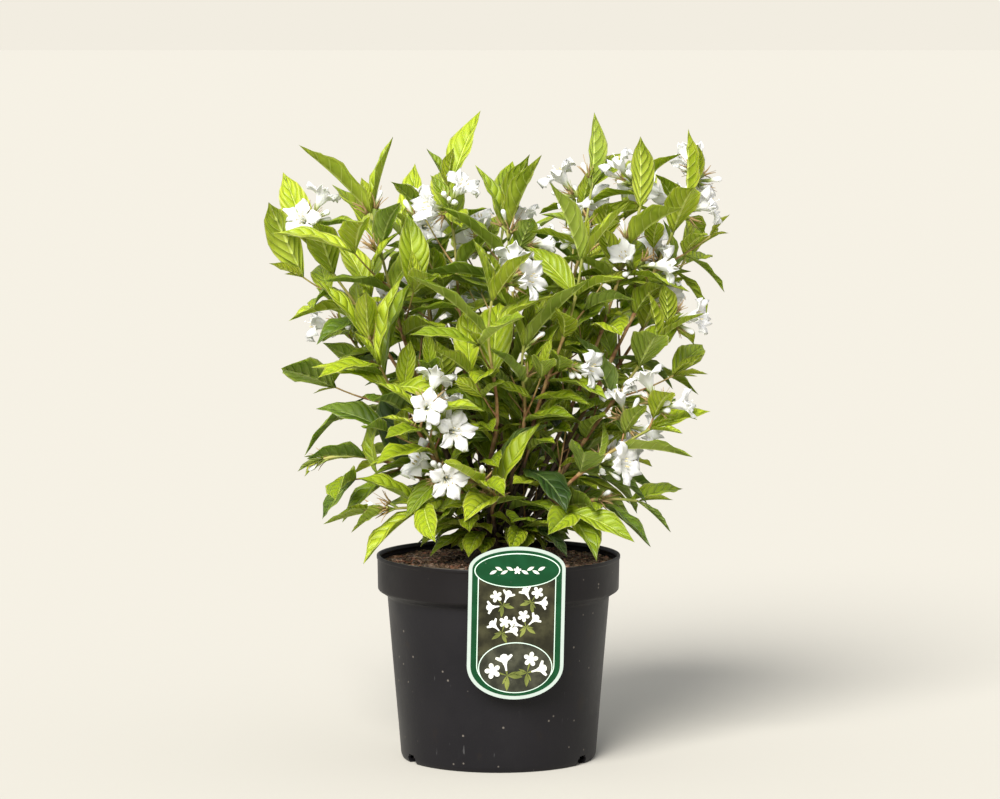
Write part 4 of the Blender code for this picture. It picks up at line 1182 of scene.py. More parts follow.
# %% The table of stems
# Each stem: bearing of its tip in plan, its spread and height, its elbow as shares of both, the ring of
# the foot it starts on, the bare share of its length, the roll of its top pair of leaves, the ranks of
# the leaf nodes that carry blooms, counted from the tip, and how many nodes carry leafy side twigs
Stem = namedtuple("Stem", "name bearing spread height out up ring bare roll blooms sides")
STEMS = (
    Stem("left_tall", 191, 0.101, 0.430, 0.62, 0.42, MIDDLE_RING, 0.20, 85, (), 2),
    Stem("left_far", 176, 0.150, 0.402, 0.42, 0.58, MIDDLE_RING, 0.20, 40, (0,), 2),
    Stem("left_mid", 205, 0.112, 0.330, 0.55, 0.55, OUTER_RING, 0.20, 10, (), 2),
    Stem("left_low", 184, 0.136, 0.234, 0.45, 1.20, OUTER_RING, 0.18, 80, (), 1),
    Stem("front_left", 234, 0.106, 0.268, 0.50, 0.60, OUTER_RING, 0.14, 40, (0, 1, 2), 1),
    Stem("front_left_low", 216, 0.108, 0.200, 0.45, 1.20, OUTER_RING, 0.16, 10, (), 1),
    Stem("top_left", 152, 0.046, 0.444, 0.60, 0.45, INNER_RING, 0.16, 65, (1,), 2),
    Stem("top_middle", 300, 0.020, 0.418, 0.60, 0.45, INNER_RING, 0.13, 30, (1,), 2),
    Stem("top_right", 16, 0.076, 0.450, 0.60, 0.45, INNER_RING, 0.16, 70, (1,), 2),
    Stem("right_top", 350, 0.112, 0.434, 0.62, 0.44, MIDDLE_RING, 0.20, 60, (0, 2), 1),
    Stem("right_tall", 357, 0.148, 0.440, 0.60, 0.52, MIDDLE_RING, 0.20, 80, (0, 1), 2),
    Stem("right_high", 14, 0.152, 0.390, 0.52, 0.50, MIDDLE_RING, 0.20, 30, (1,), 2),
    Stem("right_mid", 347, 0.130, 0.334, 0.52, 0.56, OUTER_RING, 0.20, 75, (0,), 2),
    Stem("right_low", 335, 0.128, 0.262, 0.50, 0.70, OUTER_RING, 0.16, 20, (0, 1, 2), 1),
    Stem("right_foot", 347, 0.110, 0.203, 0.45, 1.20, OUTER_RING, 0.20, 0, (), 1),
    Stem("front_middle", 292, 0.062, 0.330, 0.50, 0.52, OUTER_RING, 0.12, 45, (), 2),
    Stem("front_right", 315, 0.090, 0.396, 0.58, 0.46, MIDDLE_RING, 0.13, 10, (0, 3), 2),
    Stem("front_high", 268, 0.082, 0.366, 0.58, 0.48, MIDDLE_RING, 0.12, 80, (0,), 2),
    Stem("front_low", 262, 0.074, 0.222, 0.50, 0.90, OUTER_RING, 0.12, 30, (), 1),
    Stem("back_left_tall", 133, 0.104, 0.398, 0.60, 0.46, MIDDLE_RING, 0.22, 25, (0, 2), 1),
    Stem("back_middle", 88, 0.094, 0.412, 0.60, 0.46, INNER_RING, 0.18, 55, (1,), 2),
    Stem("back_right_tall", 48, 0.114, 0.396, 0.60, 0.46, MIDDLE_RING, 0.22, 5, (0, 2), 1),
    Stem("back_left_mid", 150, 0.136, 0.320, 0.52, 0.56, OUTER_RING, 0.22, 65, (0,), 2),
    Stem("back_mid", 104, 0.136, 0.330, 0.52, 0.56, OUTER_RING, 0.22, 35, (0, 1), 1),
    Stem("back_right_mid", 66, 0.138, 0.310, 0.52, 0.56, OUTER_RING, 0.22, 15, (0,), 2),
    Stem("back_left_low", 121, 0.120, 0.226, 0.50, 1.00, OUTER_RING, 0.20, 85, (), 1),
    Stem("back_right_low", 34, 0.124, 0.226, 0.50, 1.00, OUTER_RING, 0.20, 45, (1,), 1),
)
Leaf = namedtuple("Leaf", "root along face length width droop fold edge")
Bloom = namedtuple("Bloom", "root along side length mouth")
Twig = namedtuple("Twig", "points radii")
print("stems:", len(STEMS))

# %% The centre line of a stem
def plan(bearing, distance):
    """A point of the ground plane at a bearing in degrees and a distance from the axis."""
    angle = math.radians(bearing)
    return Vector((distance * math.cos(angle), distance * math.sin(angle), 0.0))


def root_bearings():
    """Where on its ring each stem starts: evenly spaced, in the order of the tips' bearings."""
    found = {}
    for ring in (OUTER_RING, MIDDLE_RING, INNER_RING):
        names = [s.name for s in sorted(STEMS, key=lambda s: s.bearing % 360) if s.ring == ring]
        first = min(s.bearing % 360 for s in STEMS if s.ring == ring)
        for rank, name in enumerate(names):
            found[name] = first + 360.0 * rank / len(names)
    return found


class Axis:
    """The centre line of one stem, from the foot's top through its elbow to its tip."""

    def __init__(self, stem, root_bearing):
        self.stem = stem
        top = SOIL_EDGE + SOIL_CROWN + GAP + FOOT_HEIGHT
        tip = plan(stem.bearing, stem.spread)
        root = plan(root_bearing, stem.ring)
        self.tip = tip + Vector((0, 0, stem.height))
        toward = (tip - root) * stem.out + Vector((0, 0, (stem.height - top) * stem.up))
        lean = math.hypot(toward.x, toward.y) / toward.length
        self.root = root + Vector((0, 0, top + GAP + STEM_FOOT_RADIUS * lean))
        self.elbow = self.root + toward
        draw = random.Random(stem.name)
        self.phase = draw.uniform(0, 2 * math.pi)
        turn = math.radians(stem.bearing)
        self.aside = Vector((-math.sin(turn), math.cos(turn), 0))
        self.table = [0.0]
        last = self.curve(0.0)
        for i in range(1, AXIS_STEPS + 1):
            here = self.curve(i / AXIS_STEPS)
            self.table.append(self.table[-1] + (here - last).length)
            last = here
        self.length = self.table[-1]

    def curve(self, t):
        """A point by the curve's own parameter, with a slight sway to the side."""
        s = 1.0 - t
        point = self.root * s * s + self.elbow * (2 * s * t) + self.tip * t * t
        wave = math.sin(2 * math.pi * SWAY_WAVES * t + self.phase)
        sway = STEM_SWAY * wave * min(1.0, SWAY_EASE * t) ** 3
        return point + self.aside * sway

    def at(self, distance):
        """A point by its distance along the stem."""
        distance = max(0.0, min(distance, self.length))
        for i in range(AXIS_STEPS):
            if self.table[i + 1] >= distance:
                span = self.table[i + 1] - self.table[i]
                share = (distance - self.table[i]) / span if span > 0 else 0.0
                return self.curve((i + share) / AXIS_STEPS)
        return self.curve(1.0)

    def tangent(self, distance):
        """The stem's direction at a distance along it."""
        step = 0.002
        ahead = self.at(min(distance + step, self.length))
        behind = self.at(max(distance - step, 0.0))
        return (ahead - behind).normalized()

    def radius(self, distance):
        """The stem's radius: it tapers to where the foliage starts, and from there to its tip."""
        bare = self.stem.bare * self.length
        if distance <= bare:
            return STEM_FOOT_RADIUS + (STEM_LEAFY_RADIUS - STEM_FOOT_RADIUS) * distance / bare
        share = (distance - bare) / (self.length - bare)
        return STEM_LEAFY_RADIUS + (STEM_TIP_RADIUS - STEM_LEAFY_RADIUS) * share

    def nodes(self):
        """Distances of the leaf nodes, from the tip down to where the bare part starts."""
        found = []
        distance = self.length - FIRST_NODE
        while distance >= self.stem.bare * self.length + LOWEST_NODE:
            found.append(distance)
            distance -= INTERNODES[min(len(found), len(INTERNODES)) - 1]
        return found

    def side_ranks(self):
        """Ranks of the leaf nodes with leafy side twigs: the highest of those that carry no blooms."""
        free = [k for k in range(2, len(self.nodes())) if k not in self.stem.blooms]
        return free[:self.stem.sides]


print("roots stand at bearings", sorted(round(bearing) % 360 for bearing in root_bearings().values()))

# %% The solids that the rule tests its clearances with
def loft(points, radii, sides):
    """A closed tapering tube with flat ends, as points and faces."""
    verts = []
    side = (points[1] - points[0]).orthogonal().normalized()
    for i, (point, radius) in enumerate(zip(points, radii)):
        tangent = (points[min(i + 1, len(points) - 1)] - points[max(i - 1, 0)]).normalized()
        side = (side - tangent * side.dot(tangent)).normalized()
        other = tangent.cross(side)
        for j in range(sides):
            angle = 2 * math.pi * j / sides
            verts.append(point + (side * math.cos(angle) + other * math.sin(angle)) * radius)
    faces = []
    for i in range(len(points) - 1):
        for j in range(sides):
            a = i * sides + j
            b = i * sides + (j + 1) % sides
            faces.append((a, b, b + sides, a + sides))
    faces.append(tuple(reversed(range(sides))))
    faces.append(tuple(range((len(points) - 1) * sides, len(points) * sides)))
    return verts, faces


def leaf_profile(u):
    """Half width of a leaf as a share of its greatest, from its foot, 0, to its long tip, 1."""
    return math.sin(math.pi * u**LEAF_FULLEST) ** LEAF_SLIMNESS


def leaf_point(leaf, u, v, width):
    """A point of a leaf's surface: u along it, v across it from -1 to 1. Returns it and its normal."""
    bend = math.radians(leaf.droop) * u
    arc = leaf.length * u
    if leaf.droop:
        turn_radius = leaf.length / math.radians(leaf.droop)
        ahead = turn_radius * math.sin(bend)
        drop = turn_radius * (1.0 - math.cos(bend))
    else:
        ahead, drop = arc, 0.0
    normal = leaf.face * math.cos(bend) + leaf.along * math.sin(bend)
    side = leaf.face.cross(leaf.along)
    fold = math.radians(leaf.fold)
    half = width / 2 * leaf_profile(u) if 0.0 < u < 1.0 else 0.0
    point = leaf.root + leaf.along * ahead - leaf.face * drop
    point = point + (side * (v * math.cos(fold)) + normal * (abs(v) * math.sin(fold))) * half
    return point, normal


def leaf_solid(leaf, grow=0.0):
    """A thin folded leaf of eight or twelve faces; grow thickens and widens it, to test its clearance."""
    width = leaf.length * leaf.width + 2 * grow
    thick = leaf.length * LEAF_THICKNESS_SHARE + 2 * grow
    centre, normal = leaf_point(leaf, LEAF_MIDDLE, 0.0, width)
    left = [leaf_point(leaf, u, -1.0, width)[0] for u in leaf.edge]
    right = [leaf_point(leaf, u, 1.0, width)[0] for u in leaf.edge]
    root = leaf.root - leaf.along * (LEAF_ROOT_DEPTH + grow)
    tip = leaf_point(leaf, 1.0, 0.0, width)[0] + leaf.along * grow
    verts = [root] + left + [tip] + right[::-1]
    rim = len(verts)
    verts += [centre + normal * (thick / 2), centre - normal * (thick / 2)]
    faces = []
    for i in range(rim):
        j = (i + 1) % rim
        faces.append((rim, i, j))
        faces.append((rim + 1, j, i))
    return verts, faces


def bloom_solid(bloom, grow=0.0):
    """A five-lobed trumpet with a hollow mouth; grow widens it, to test its clearance."""
    lobes = 5
    other = bloom.along.cross(bloom.side)

    def ring(share, radius, half_step):
        found = []
        for i in range(lobes):
            angle = 2 * math.pi * (i + half_step) / lobes
            out = bloom.side * math.cos(angle) + other * math.sin(angle)
            found.append(bloom.root + bloom.along * (share * bloom.length) + out * (radius + grow))
        return found

    half = bloom.mouth / 2
    verts = ring(0.0, BLOOM_ROOT_RADIUS, 0.0)
    verts += ring(LOBE_TIP, half, 0.0)
    verts += ring(LOBE_NOTCH, half * NOTCH_RADIUS, 0.5)
    verts.append(bloom.root + bloom.along * (THROAT * bloom.length))
    root, tip, notch, centre = 0, lobes, 2 * lobes, 3 * lobes
    faces = [tuple(reversed(range(lobes)))]
    for i in range(lobes):
        j = (i + 1) % lobes
        faces.append((root + i, root + j, notch + i))
        faces.append((root + i, notch + i, tip + i))
        faces.append((root + j, tip + j, notch + i))
        faces.append((tip + i, notch + i, centre))
        faces.append((notch + i, tip + j, centre))
    return verts, faces


def twig_solid(twig, grow=0.0):
    """A three-sided tapering twig; grow thickens it, to test its clearance."""
    return loft(twig.points, [radius + grow for radius in twig.radii], TWIG_SIDES)


print("solids for clearances: leaf, bloom and twig")

# %% The crown, which keeps everything that has grown
CELL = 0.030


def span(verts):
    """Lowest and highest corner of a box round some points."""
    low = [min(v[i] for v in verts) for i in range(3)]
    high = [max(v[i] for v in verts) for i in range(3)]
    return low, high


class Crown:
    """Everything that grows, with a test that keeps each new leaf, twig and bloom clear of the rest."""

    def __init__(self):
        self.solids = []
        self.cells = {}
        self.grown = []

    def cells_of(self, low, high):
        """The cells of a coarse grid that a box reaches into."""
        reach = [range(math.floor(a / CELL), math.floor(b / CELL) + 1) for a, b in zip(low, high)]
        return [(i, j, k) for i in reach[0] for j in reach[1] for k in reach[2]]

    def keep(self, verts, faces):
        """Notes a solid that later ones must stay clear of, and returns its number."""
        low, high = span(verts)
        self.solids.append((BVHTree.FromPolygons(verts, faces), low, high))
        number = len(self.solids) - 1
        for cell in self.cells_of(low, high):
            self.cells.setdefault(cell, []).append(number)
        return number

    def clear(self, verts, faces, touching):
        """Whether a solid meets none of those kept, apart from the ones it grows from."""
        low, high = span(verts)
        near = set()
        for cell in self.cells_of(low, high):
            near.update(self.cells.get(cell, ()))
        tree = None
        for number in sorted(near - touching):
            other, other_low, other_high = self.solids[number]
            if any(low[i] > other_high[i] or high[i] < other_low[i] for i in range(3)):
                continue
            if tree is None:
                tree = BVHTree.FromPolygons(verts, faces)
            if tree.overlap(other):
                return False
        return True


def crown_radius(height):
    """Greatest distance from the axis that the crown reaches at a height."""
    low = CROWN_PROFILE[0]
    for high in CROWN_PROFILE[1:]:
        if height <= high[0]:
            share = max(0.0, (height - low[0]) / (high[0] - low[0]))
            return low[1] + (high[1] - low[1]) * share
        low = high
    return 0.0


def in_room(points, axis):
    """Whether points keep to the mass's own reach, inside the crown and off the pot and label."""
    label_x = RIM_RADIUS * math.cos(math.radians(LABEL_BEARING))
    for p in points:
        out = math.hypot(p.x, p.y)
        share = (out - FLOOR_RAMP[0]) / (FLOOR_RAMP[1] - FLOOR_RAMP[0])
        floor = FLOOR_INSIDE + (FLOOR_OUTSIDE - FLOOR_INSIDE) * max(0.0, min(1.0, share))
        if p.z < floor or p.z > CROWN_TOP or out > crown_radius(p.z):
            return False
        beside_label = abs(p.x - label_x) < LABEL_WIDTH / 2 + LABEL_ROOM
        if beside_label and p.y < LABEL_FRONT and p.z < POT_HEIGHT + LABEL_RISE + LABEL_ROOM:
            return False
    middle = points[len(points) // 2]
    stops = [axis.length * i / REACH_SAMPLES for i in range(3, REACH_SAMPLES + 1)]
    nearest = min((axis.at(stop) - middle).length for stop in stops)
    return nearest < MASS_REACH


print("the crown keeps within", crown_radius(POT_HEIGHT + 0.2), "m of its axis at mid height")

# %% Growing one leaf, one twig or one bloom
def fork(tangent, roll, angle):
    """A direction that leaves a stem at an angle, turned about it by roll, both in degrees."""
    up = Vector((0, 0, 1))
    side = tangent.cross(up)
    if side.length < 0.1:
        side = Vector((1, 0, 0)) - tangent * tangent.x
    side.normalize()
    other = side.cross(tangent)
    out = side * math.cos(math.radians(roll)) + other * math.sin(math.radians(roll))
    return (tangent * math.cos(math.radians(angle)) + out * math.sin(math.radians(angle))).normalized()


def try_leaf(crown, axis, key, root, tangent, roll, rank, touching, scale):
    """Grows one leaf, turned a little or made smaller until it fits; returns its number or None."""
    draw = random.Random(f"{axis.stem.name} leaf {key}")
    rank = min(rank, len(LEAF_LENGTHS) - 1)
    base_length = LEAF_LENGTHS[rank] * scale * draw.uniform(0.74, 1.10)
    edge = LARGE_EDGE if scale == 1.0 else SMALL_EDGE
    for attempt in range(TRIES):
        loose = LEAF_LOOSE[0] + LEAF_LOOSE[1] * attempt
        angle = LEAF_ANGLES[rank] + draw.uniform(-loose, loose) * 0.6
        along = fork(tangent, roll + draw.uniform(-loose, loose), angle)
        face = Vector((0, 0, 1)) * FACE_UP + tangent * FACE_AHEAD
        face = face - along * face.dot(along)
        if face.length < 0.15:
            face = tangent - along * tangent.dot(along)
        face.normalize()
        twist = math.radians(draw.uniform(-loose, loose) * 1.1)
        face = (face * math.cos(twist) + along.cross(face) * math.sin(twist)).normalized()
        droop = LEAF_DROOPS[rank] * draw.uniform(0.6, 1.3)
        width = LEAF_WIDTHS[rank] * draw.uniform(0.9, 1.08)
        fold = LEAF_FOLDS[rank] * draw.uniform(0.7, 1.3)
        length = base_length * (1.0 - SHRINK * attempt)
        leaf = Leaf(root, along, face, length, width, droop, fold, edge)
        verts, faces = leaf_solid(leaf, GAP)
        if in_room(verts[1:], axis) and crown.clear(verts, faces, touching):
            number = crown.keep(*leaf_solid(leaf))
            crown.grown.append(("leaf", leaf, rank, axis, number))
            return number
    return None


def try_twig(crown, axis, key, root, direction, length, radius, touching):
    """Grows a side twig that bends upwards; returns it and its number, or None."""
    draw = random.Random(f"{axis.stem.name} twig {key}")
    for attempt in range(TRIES):
        loose = TWIG_LOOSE[0] + TWIG_LOOSE[1] * attempt
        aim = direction + Vector([draw.uniform(-loose, loose) for _ in range(3)])
        aim.normalize()
        reach = length * (1.0 - SHRINK * attempt)
        points = []
        for share in (0.0, 0.5, 1.0):
            lift = Vector((0, 0, TWIG_LIFT * reach * share * share))
            points.append(root + aim * (reach * share) + lift)
        radii = [radius * (1.0 - TWIG_TAPER * i) for i in range(3)]
        twig = Twig(points, radii)
        verts, faces = twig_solid(twig, GAP)
        if in_room(points[1:], axis) and crown.clear(verts, faces, touching):
            number = crown.keep(*twig_solid(twig))
            crown.grown.append(("twig", twig, 0, axis, number))
            return twig, number
    return None


def try_bloom(crown, axis, key, root, direction, touching):
    """Grows one bloom that nods a little; returns its number or None."""
    draw = random.Random(f"{axis.stem.name} bloom {key}")
    for attempt in range(TRIES):
        loose = BLOOM_LOOSE[0] + BLOOM_LOOSE[1] * attempt
        aim = direction + Vector([draw.uniform(-loose, loose) for _ in range(3)])
        aim.normalize()
        side = aim.orthogonal().normalized()
        size = draw.uniform(0.88, 1.08)
        bloom = Bloom(root, aim, side, BLOOM_LENGTH * size, BLOOM_MOUTH * size)
        verts, faces = bloom_solid(bloom, GAP)
        if in_room(verts[5:15], axis) and crown.clear(verts, faces, touching):
            number = crown.keep(*bloom_solid(bloom))
            crown.grown.append(("bloom", bloom, 0, axis, number))
            return number
    return None


print("each leaf, twig or bloom has", TRIES, "tries to find room")

# %% Growing pairs, clusters and side twigs
def grow_pair(crown, axis, key, root, tangent, roll, rank, stem_number, scale=1.0):
    """Grows two opposite leaves at one node."""
    touching = {stem_number}
    for side in (0, 1):
        turn = roll + 180 * side
        number = try_leaf(crown, axis, f"{key} {side}", root, tangent, turn, rank, touching, scale)
        if number is not None:
            touching.add(number)


def grow_blooms(crown, axis, key, distance, roll, stem_number):
    """Grows a short twig with a cluster of blooms at its end and two small leaves under them."""
    tangent = axis.tangent(distance)
    root = axis.at(distance + AXIL_RISE)
    direction = fork(tangent, roll, BLOOM_TWIG_ANGLE)
    grown = try_twig(crown, axis, key, root, direction, BLOOM_TWIG_LENGTH, AXIL_TWIG_RADIUS, {stem_number})
    if grown is None:
        return
    twig, number = grown
    aim = (twig.points[2] - twig.points[1]).normalized()
    for i in range(BLOOMS_EACH):
        start = twig.points[2] - aim * (END_DEPTH + BLOOM_STEP * i)
        angle = BLOOM_ANGLE + BLOOM_ANGLE_STEP * i
        out = fork(aim, 180.0 * i + roll, angle) - Vector((0, 0, BLOOM_NOD))
        try_bloom(crown, axis, f"{key} {i}", start, out.normalized(), {number})
    grow_pair(crown, axis, f"{key} under", twig.points[1], aim, roll + 90, UNDER_RANK, number, UNDER_SCALE)


def grow_side(crown, axis, key, distance, roll, stem_number):
    """Grows a leafy side twig with two pairs of leaves and a pair at its tip."""
    tangent = axis.tangent(distance)
    root = axis.at(distance + AXIL_RISE)
    direction = fork(tangent, roll, AXIL_ANGLE)
    grown = try_twig(crown, axis, key, root, direction, AXIL_TWIG_LENGTH, AXIL_TWIG_RADIUS, {stem_number})
    if grown is None:
        return
    twig, number = grown
    aim = (twig.points[2] - twig.points[1]).normalized()
    end = twig.points[2] - aim * END_DEPTH
    grow_pair(crown, axis, f"{key} end", end, aim, roll + 90, END_RANK, number)
    grow_pair(crown, axis, f"{key} mid", twig.points[1], aim, roll, MIDDLE_RANK, number, MIDDLE_SCALE)


print("a cluster has up to", BLOOMS_EACH, "blooms")

# %% Growing the crown as the solids have it
def grow_crown():
    """Grows every mass: the blooms first, then the pairs from the tips down, then the side twigs."""
    crown = Crown()
    bearings = root_bearings()
    axes = [Axis(stem, bearings[stem.name]) for stem in STEMS]
    numbers = {}
    for axis in axes:
        bare = axis.stem.bare * axis.length
        bough = [axis.at(bare * i / (BOUGH_POINTS - 1)) for i in range(BOUGH_POINTS)]
        radii = [axis.radius(bare * i / (BOUGH_POINTS - 1)) for i in range(BOUGH_POINTS)]
        crown.keep(*loft(bough, radii, 6))
    for axis in axes:
        start = axis.stem.bare * axis.length + 1.5 * GAP
        stops = [start + (axis.length - start) * i / (STEM_RINGS - 1) for i in range(STEM_RINGS)]
        twig = Twig([axis.at(s) for s in stops], [axis.radius(s) for s in stops])
        numbers[axis.stem.name] = crown.keep(*twig_solid(twig))
        crown.grown.append(("stem", twig, 0, axis, numbers[axis.stem.name]))

    def pair(axis, k):
        distance = axis.nodes()[k]
        roll = axis.stem.roll + 90 * k
        number = numbers[axis.stem.name]
        grow_pair(crown, axis, f"{k}", axis.at(distance), axis.tangent(distance), roll, k, number)

    most = max(len(axis.nodes()) for axis in axes)
    for k in range(most):
        for axis in axes:
            if k in axis.stem.blooms and k < len(axis.nodes()):
                roll = axis.stem.roll + 90 * (k if k else 1)
                for side in (0, 1):
                    turn = roll + 180 * side
                    key = f"bloom {k} {side}"
                    grow_blooms(crown, axis, key, axis.nodes()[k], turn, numbers[axis.stem.name])
    for k in range(most):
        for axis in axes:
            if k < len(axis.nodes()):
                pair(axis, k)
    for k in range(2, most):
        for axis in axes:
            if k in axis.side_ranks():
                roll = axis.stem.roll + 90 * k + (180 if k % 2 else 0)
                grow_side(crown, axis, f"side {k}", axis.nodes()[k], roll, numbers[axis.stem.name])
    return crown, axes, numbers


crown, axes, numbers = grow_crown()
BOUGH_NUMBERS = {axis.stem.name: rank for rank, axis in enumerate(axes)}


def count(kind):
    """How many of one kind have grown."""
    return sum(1 for row in crown.grown if row[0] == kind)


print("as the solids have it:", count("leaf"), "leaves,", count("bloom"), "blooms,", count("twig"), "twigs")

# %% [markdown]
# ## Finer growth
# A shrub has many leaves smaller than the ones that make its outline: young pairs still folded at every
# tip, weak shoots in the leaf axils that fill the inside of the crown, and low leaves that hang from the
# boughs over the soil. Scattering them by chance would put them in the air or through one another. They
# grow by the same rule instead and keep the same clearances, so they only take room that is free.

# %% Young leaves at the tips and weak shoots in the axils
YOUNG_SCALES = (0.46, 0.26)
YOUNG_STEP = 0.0015
LEAFY_TWIG = 0.03
SHOOT_RISE = 0.6
SHOOT_ANGLE = AXIL_ANGLE - 4
SHOOT_RADIUS = 0.0007
SHOOT_END_DEPTH = 0.0006
TWO_PAIRS_FROM = 0.022
MIDDLE_PAIR_SHARE = 0.9
# Shoots: length, scale of their leaves and a tag for the draw
SHOOTS = ((0.040, 0.80, "long"), (0.026, 0.62, "middle"), (0.013, 0.42, "short"))
LOW_AXILS = 0.30
SHOOT_CHANCES = (0.72, 0.30)
SHOOT_TURN = 25


def tip_aim(twig):
    """The direction in which a twig ends."""
    return (twig.points[2] - twig.points[1]).normalized()


def grow_tip(key, axis, point, aim, roll, number):
    """Young leaves at a tip, each pair smaller and more upright than the last."""
    for step, scale in enumerate(YOUNG_SCALES):
        start = point - aim * YOUNG_STEP * step
        grow_pair(crown, axis, f"{key} tip {step}", start, aim, roll + 90 * step, 0, number, scale)


def grow_shoot(key, axis, distance, roll, number, reach, scale):
    """A weak axillary shoot with one or two pairs of small leaves."""
    root = axis.at(distance + AXIL_RISE * SHOOT_RISE)
    direction = fork(axis.tangent(distance), roll, SHOOT_ANGLE)
    grown = try_twig(crown, axis, key, root, direction, reach, SHOOT_RADIUS, {number})
    if grown is None:
        return
    twig, twig_number = grown
    aim = tip_aim(twig)
    end = twig.points[2] - aim * SHOOT_END_DEPTH
    grow_pair(crown, axis, f"{key} end", end, aim, roll + 90, 1, twig_number, scale)
    if reach > TWO_PAIRS_FROM:
        scale *= MIDDLE_PAIR_SHARE
        grow_pair(crown, axis, f"{key} mid", twig.points[1], aim, roll, 2, twig_number, scale)


for axis in axes:
    number = numbers[axis.stem.name]
    grow_tip("stem", axis, axis.at(axis.length), axis.tangent(axis.length), axis.stem.roll + 90, number)
for rank, (kind, twig, _, axis, number) in enumerate(crown.grown[:]):
    if kind == "twig" and (twig.points[2] - twig.points[0]).length > LEAFY_TWIG:
        grow_tip(f"twig {rank}", axis, twig.points[2], tip_aim(twig), 40.0 * rank, number)
for reach, scale, tag in SHOOTS:
    for axis in axes:
        number = numbers[axis.stem.name]
        for k, distance in enumerate(axis.nodes()[2:], 2):
            for side in (0, 1):
                draw = random.Random(f"{axis.stem.name} {tag} {k} {side}")
                if draw.random() < SHOOT_CHANCES[0 if axis.at(distance).z < LOW_AXILS else 1]:
                    roll = axis.stem.roll + 90 * k + 180 * side + draw.uniform(-SHOOT_TURN, SHOOT_TURN)
                    key = f"{tag} {k} {side}"
                    grow_shoot(key, axis, distance - 0.002 * side, roll, number, reach, scale)
print("with tips and shoots:", count("leaf"), "leaves,", count("twig"), "twigs")

# %% Low leaves on the boughs
LOW_RANK = 4
BASAL_SHARES = (0.35, 0.55, 0.75, 0.92)
BASAL_SHOOT = (0.030, 0.72)
BASAL_SCALES = (0.55, 0.80)
BASAL_TURN = 40
HANGING = 9
HANGING_FROM = 0.30
HANGING_STEP = 0.075
HANGING_SCALES = (0.5, 0.9)
for axis in axes:
    bare = axis.stem.bare * axis.length
    number = BOUGH_NUMBERS[axis.stem.name]
    for k, share in enumerate(BASAL_SHARES):
        draw = random.Random(f"{axis.stem.name} basal {k}")
        key, distance = f"basal {k}", bare * share
        if k % 2:
            grow_shoot(key, axis, distance, draw.uniform(0, 360), number, *BASAL_SHOOT)
        else:
            roll = axis.stem.roll + draw.uniform(-BASAL_TURN, BASAL_TURN)
            scale = draw.uniform(*BASAL_SCALES)
            root, tangent = axis.at(distance), axis.tangent(distance)
            grow_pair(crown, axis, key, root, tangent, roll, LOW_RANK, number, scale)
for axis in axes:
    bare = axis.stem.bare * axis.length
    touching = {BOUGH_NUMBERS[axis.stem.name]}
    leans_back = axis.at(bare).y > axis.at(0.0).y
    for k in range(0 if leans_back else HANGING):
        draw = random.Random(f"{axis.stem.name} hanging {k}")
        distance = bare * (HANGING_FROM + HANGING_STEP * k)
        root, tangent = axis.at(distance), axis.tangent(distance)
        roll = draw.uniform(0, 360)
        scale = draw.uniform(*HANGING_SCALES)
        try_leaf(crown, axis, f"hanging {k}", root, tangent, roll, LOW_RANK, touching, scale)
print("with low leaves:", count("leaf"), "leaves,", count("bloom"), "blooms,", count("twig"), "twigs")

# %% [markdown]
# ## The leaves
# A weigela leaf is a pointed oval with a short stalk, folded along its midrib, drooping at the tip, and
# quilted between side veins that arch forward. Each leaf could be modelled by itself or cut out of an
# image, but there are more than seven hundred, and a cut-out has no thickness. So one thin closed template
# has the outline, the midrib and two arched halves, with its own underside. Geometry Nodes copies it to
# every leaf's root, and bends each copy along its own arc with the numbers that the growth rule drew for
# it. The veins and the quilting between them are too fine for a mesh that is copied so often, and follow
# in the finish.

# %% The leaf template
# Rows and columns of the upper side
LARGE_CELLS = (10, 4)
SMALL_CELLS = (8, 2)
OVAL_SKEW = 0.82
OVAL_FULLNESS = 0.80
TIP_SLIMMING = 0.5
TIP_RANGE = (0.72, 0.98)
WELD = 0.0004
STALK_SHARE = 0.05
STALK_HALF = 0.024
ROW_SWEEP = 0.10
ROW_CROWDING = 1.08
ARCH = 0.036
MIDRIB_DEPTH = 0.9
BLADE_DEPTH = 0.5


def smooth(value, low, high):
    """0 below low, 1 above high and smooth between them."""
    share = max(0.0, min(1.0, (value - low) / (high - low)))
    return share * share * (3.0 - 2.0 * share)


def blade_half(u):
    """Half width as a share of the leaf's width: a thin stalk, a full oval blade and a drawn-out tip."""
    if u >= 1.0:
        return 0.0
    t = (u - STALK_SHARE) / (1.0 - STALK_SHARE)
    blade = 0.0
    if t > 0.0:
        oval = math.sin(math.pi * t**OVAL_SKEW) ** OVAL_FULLNESS
        blade = 0.5 * oval * (1.0 - TIP_SLIMMING * smooth(t, *TIP_RANGE))
    return max(STALK_HALF * (1.0 - u) ** 2, blade)


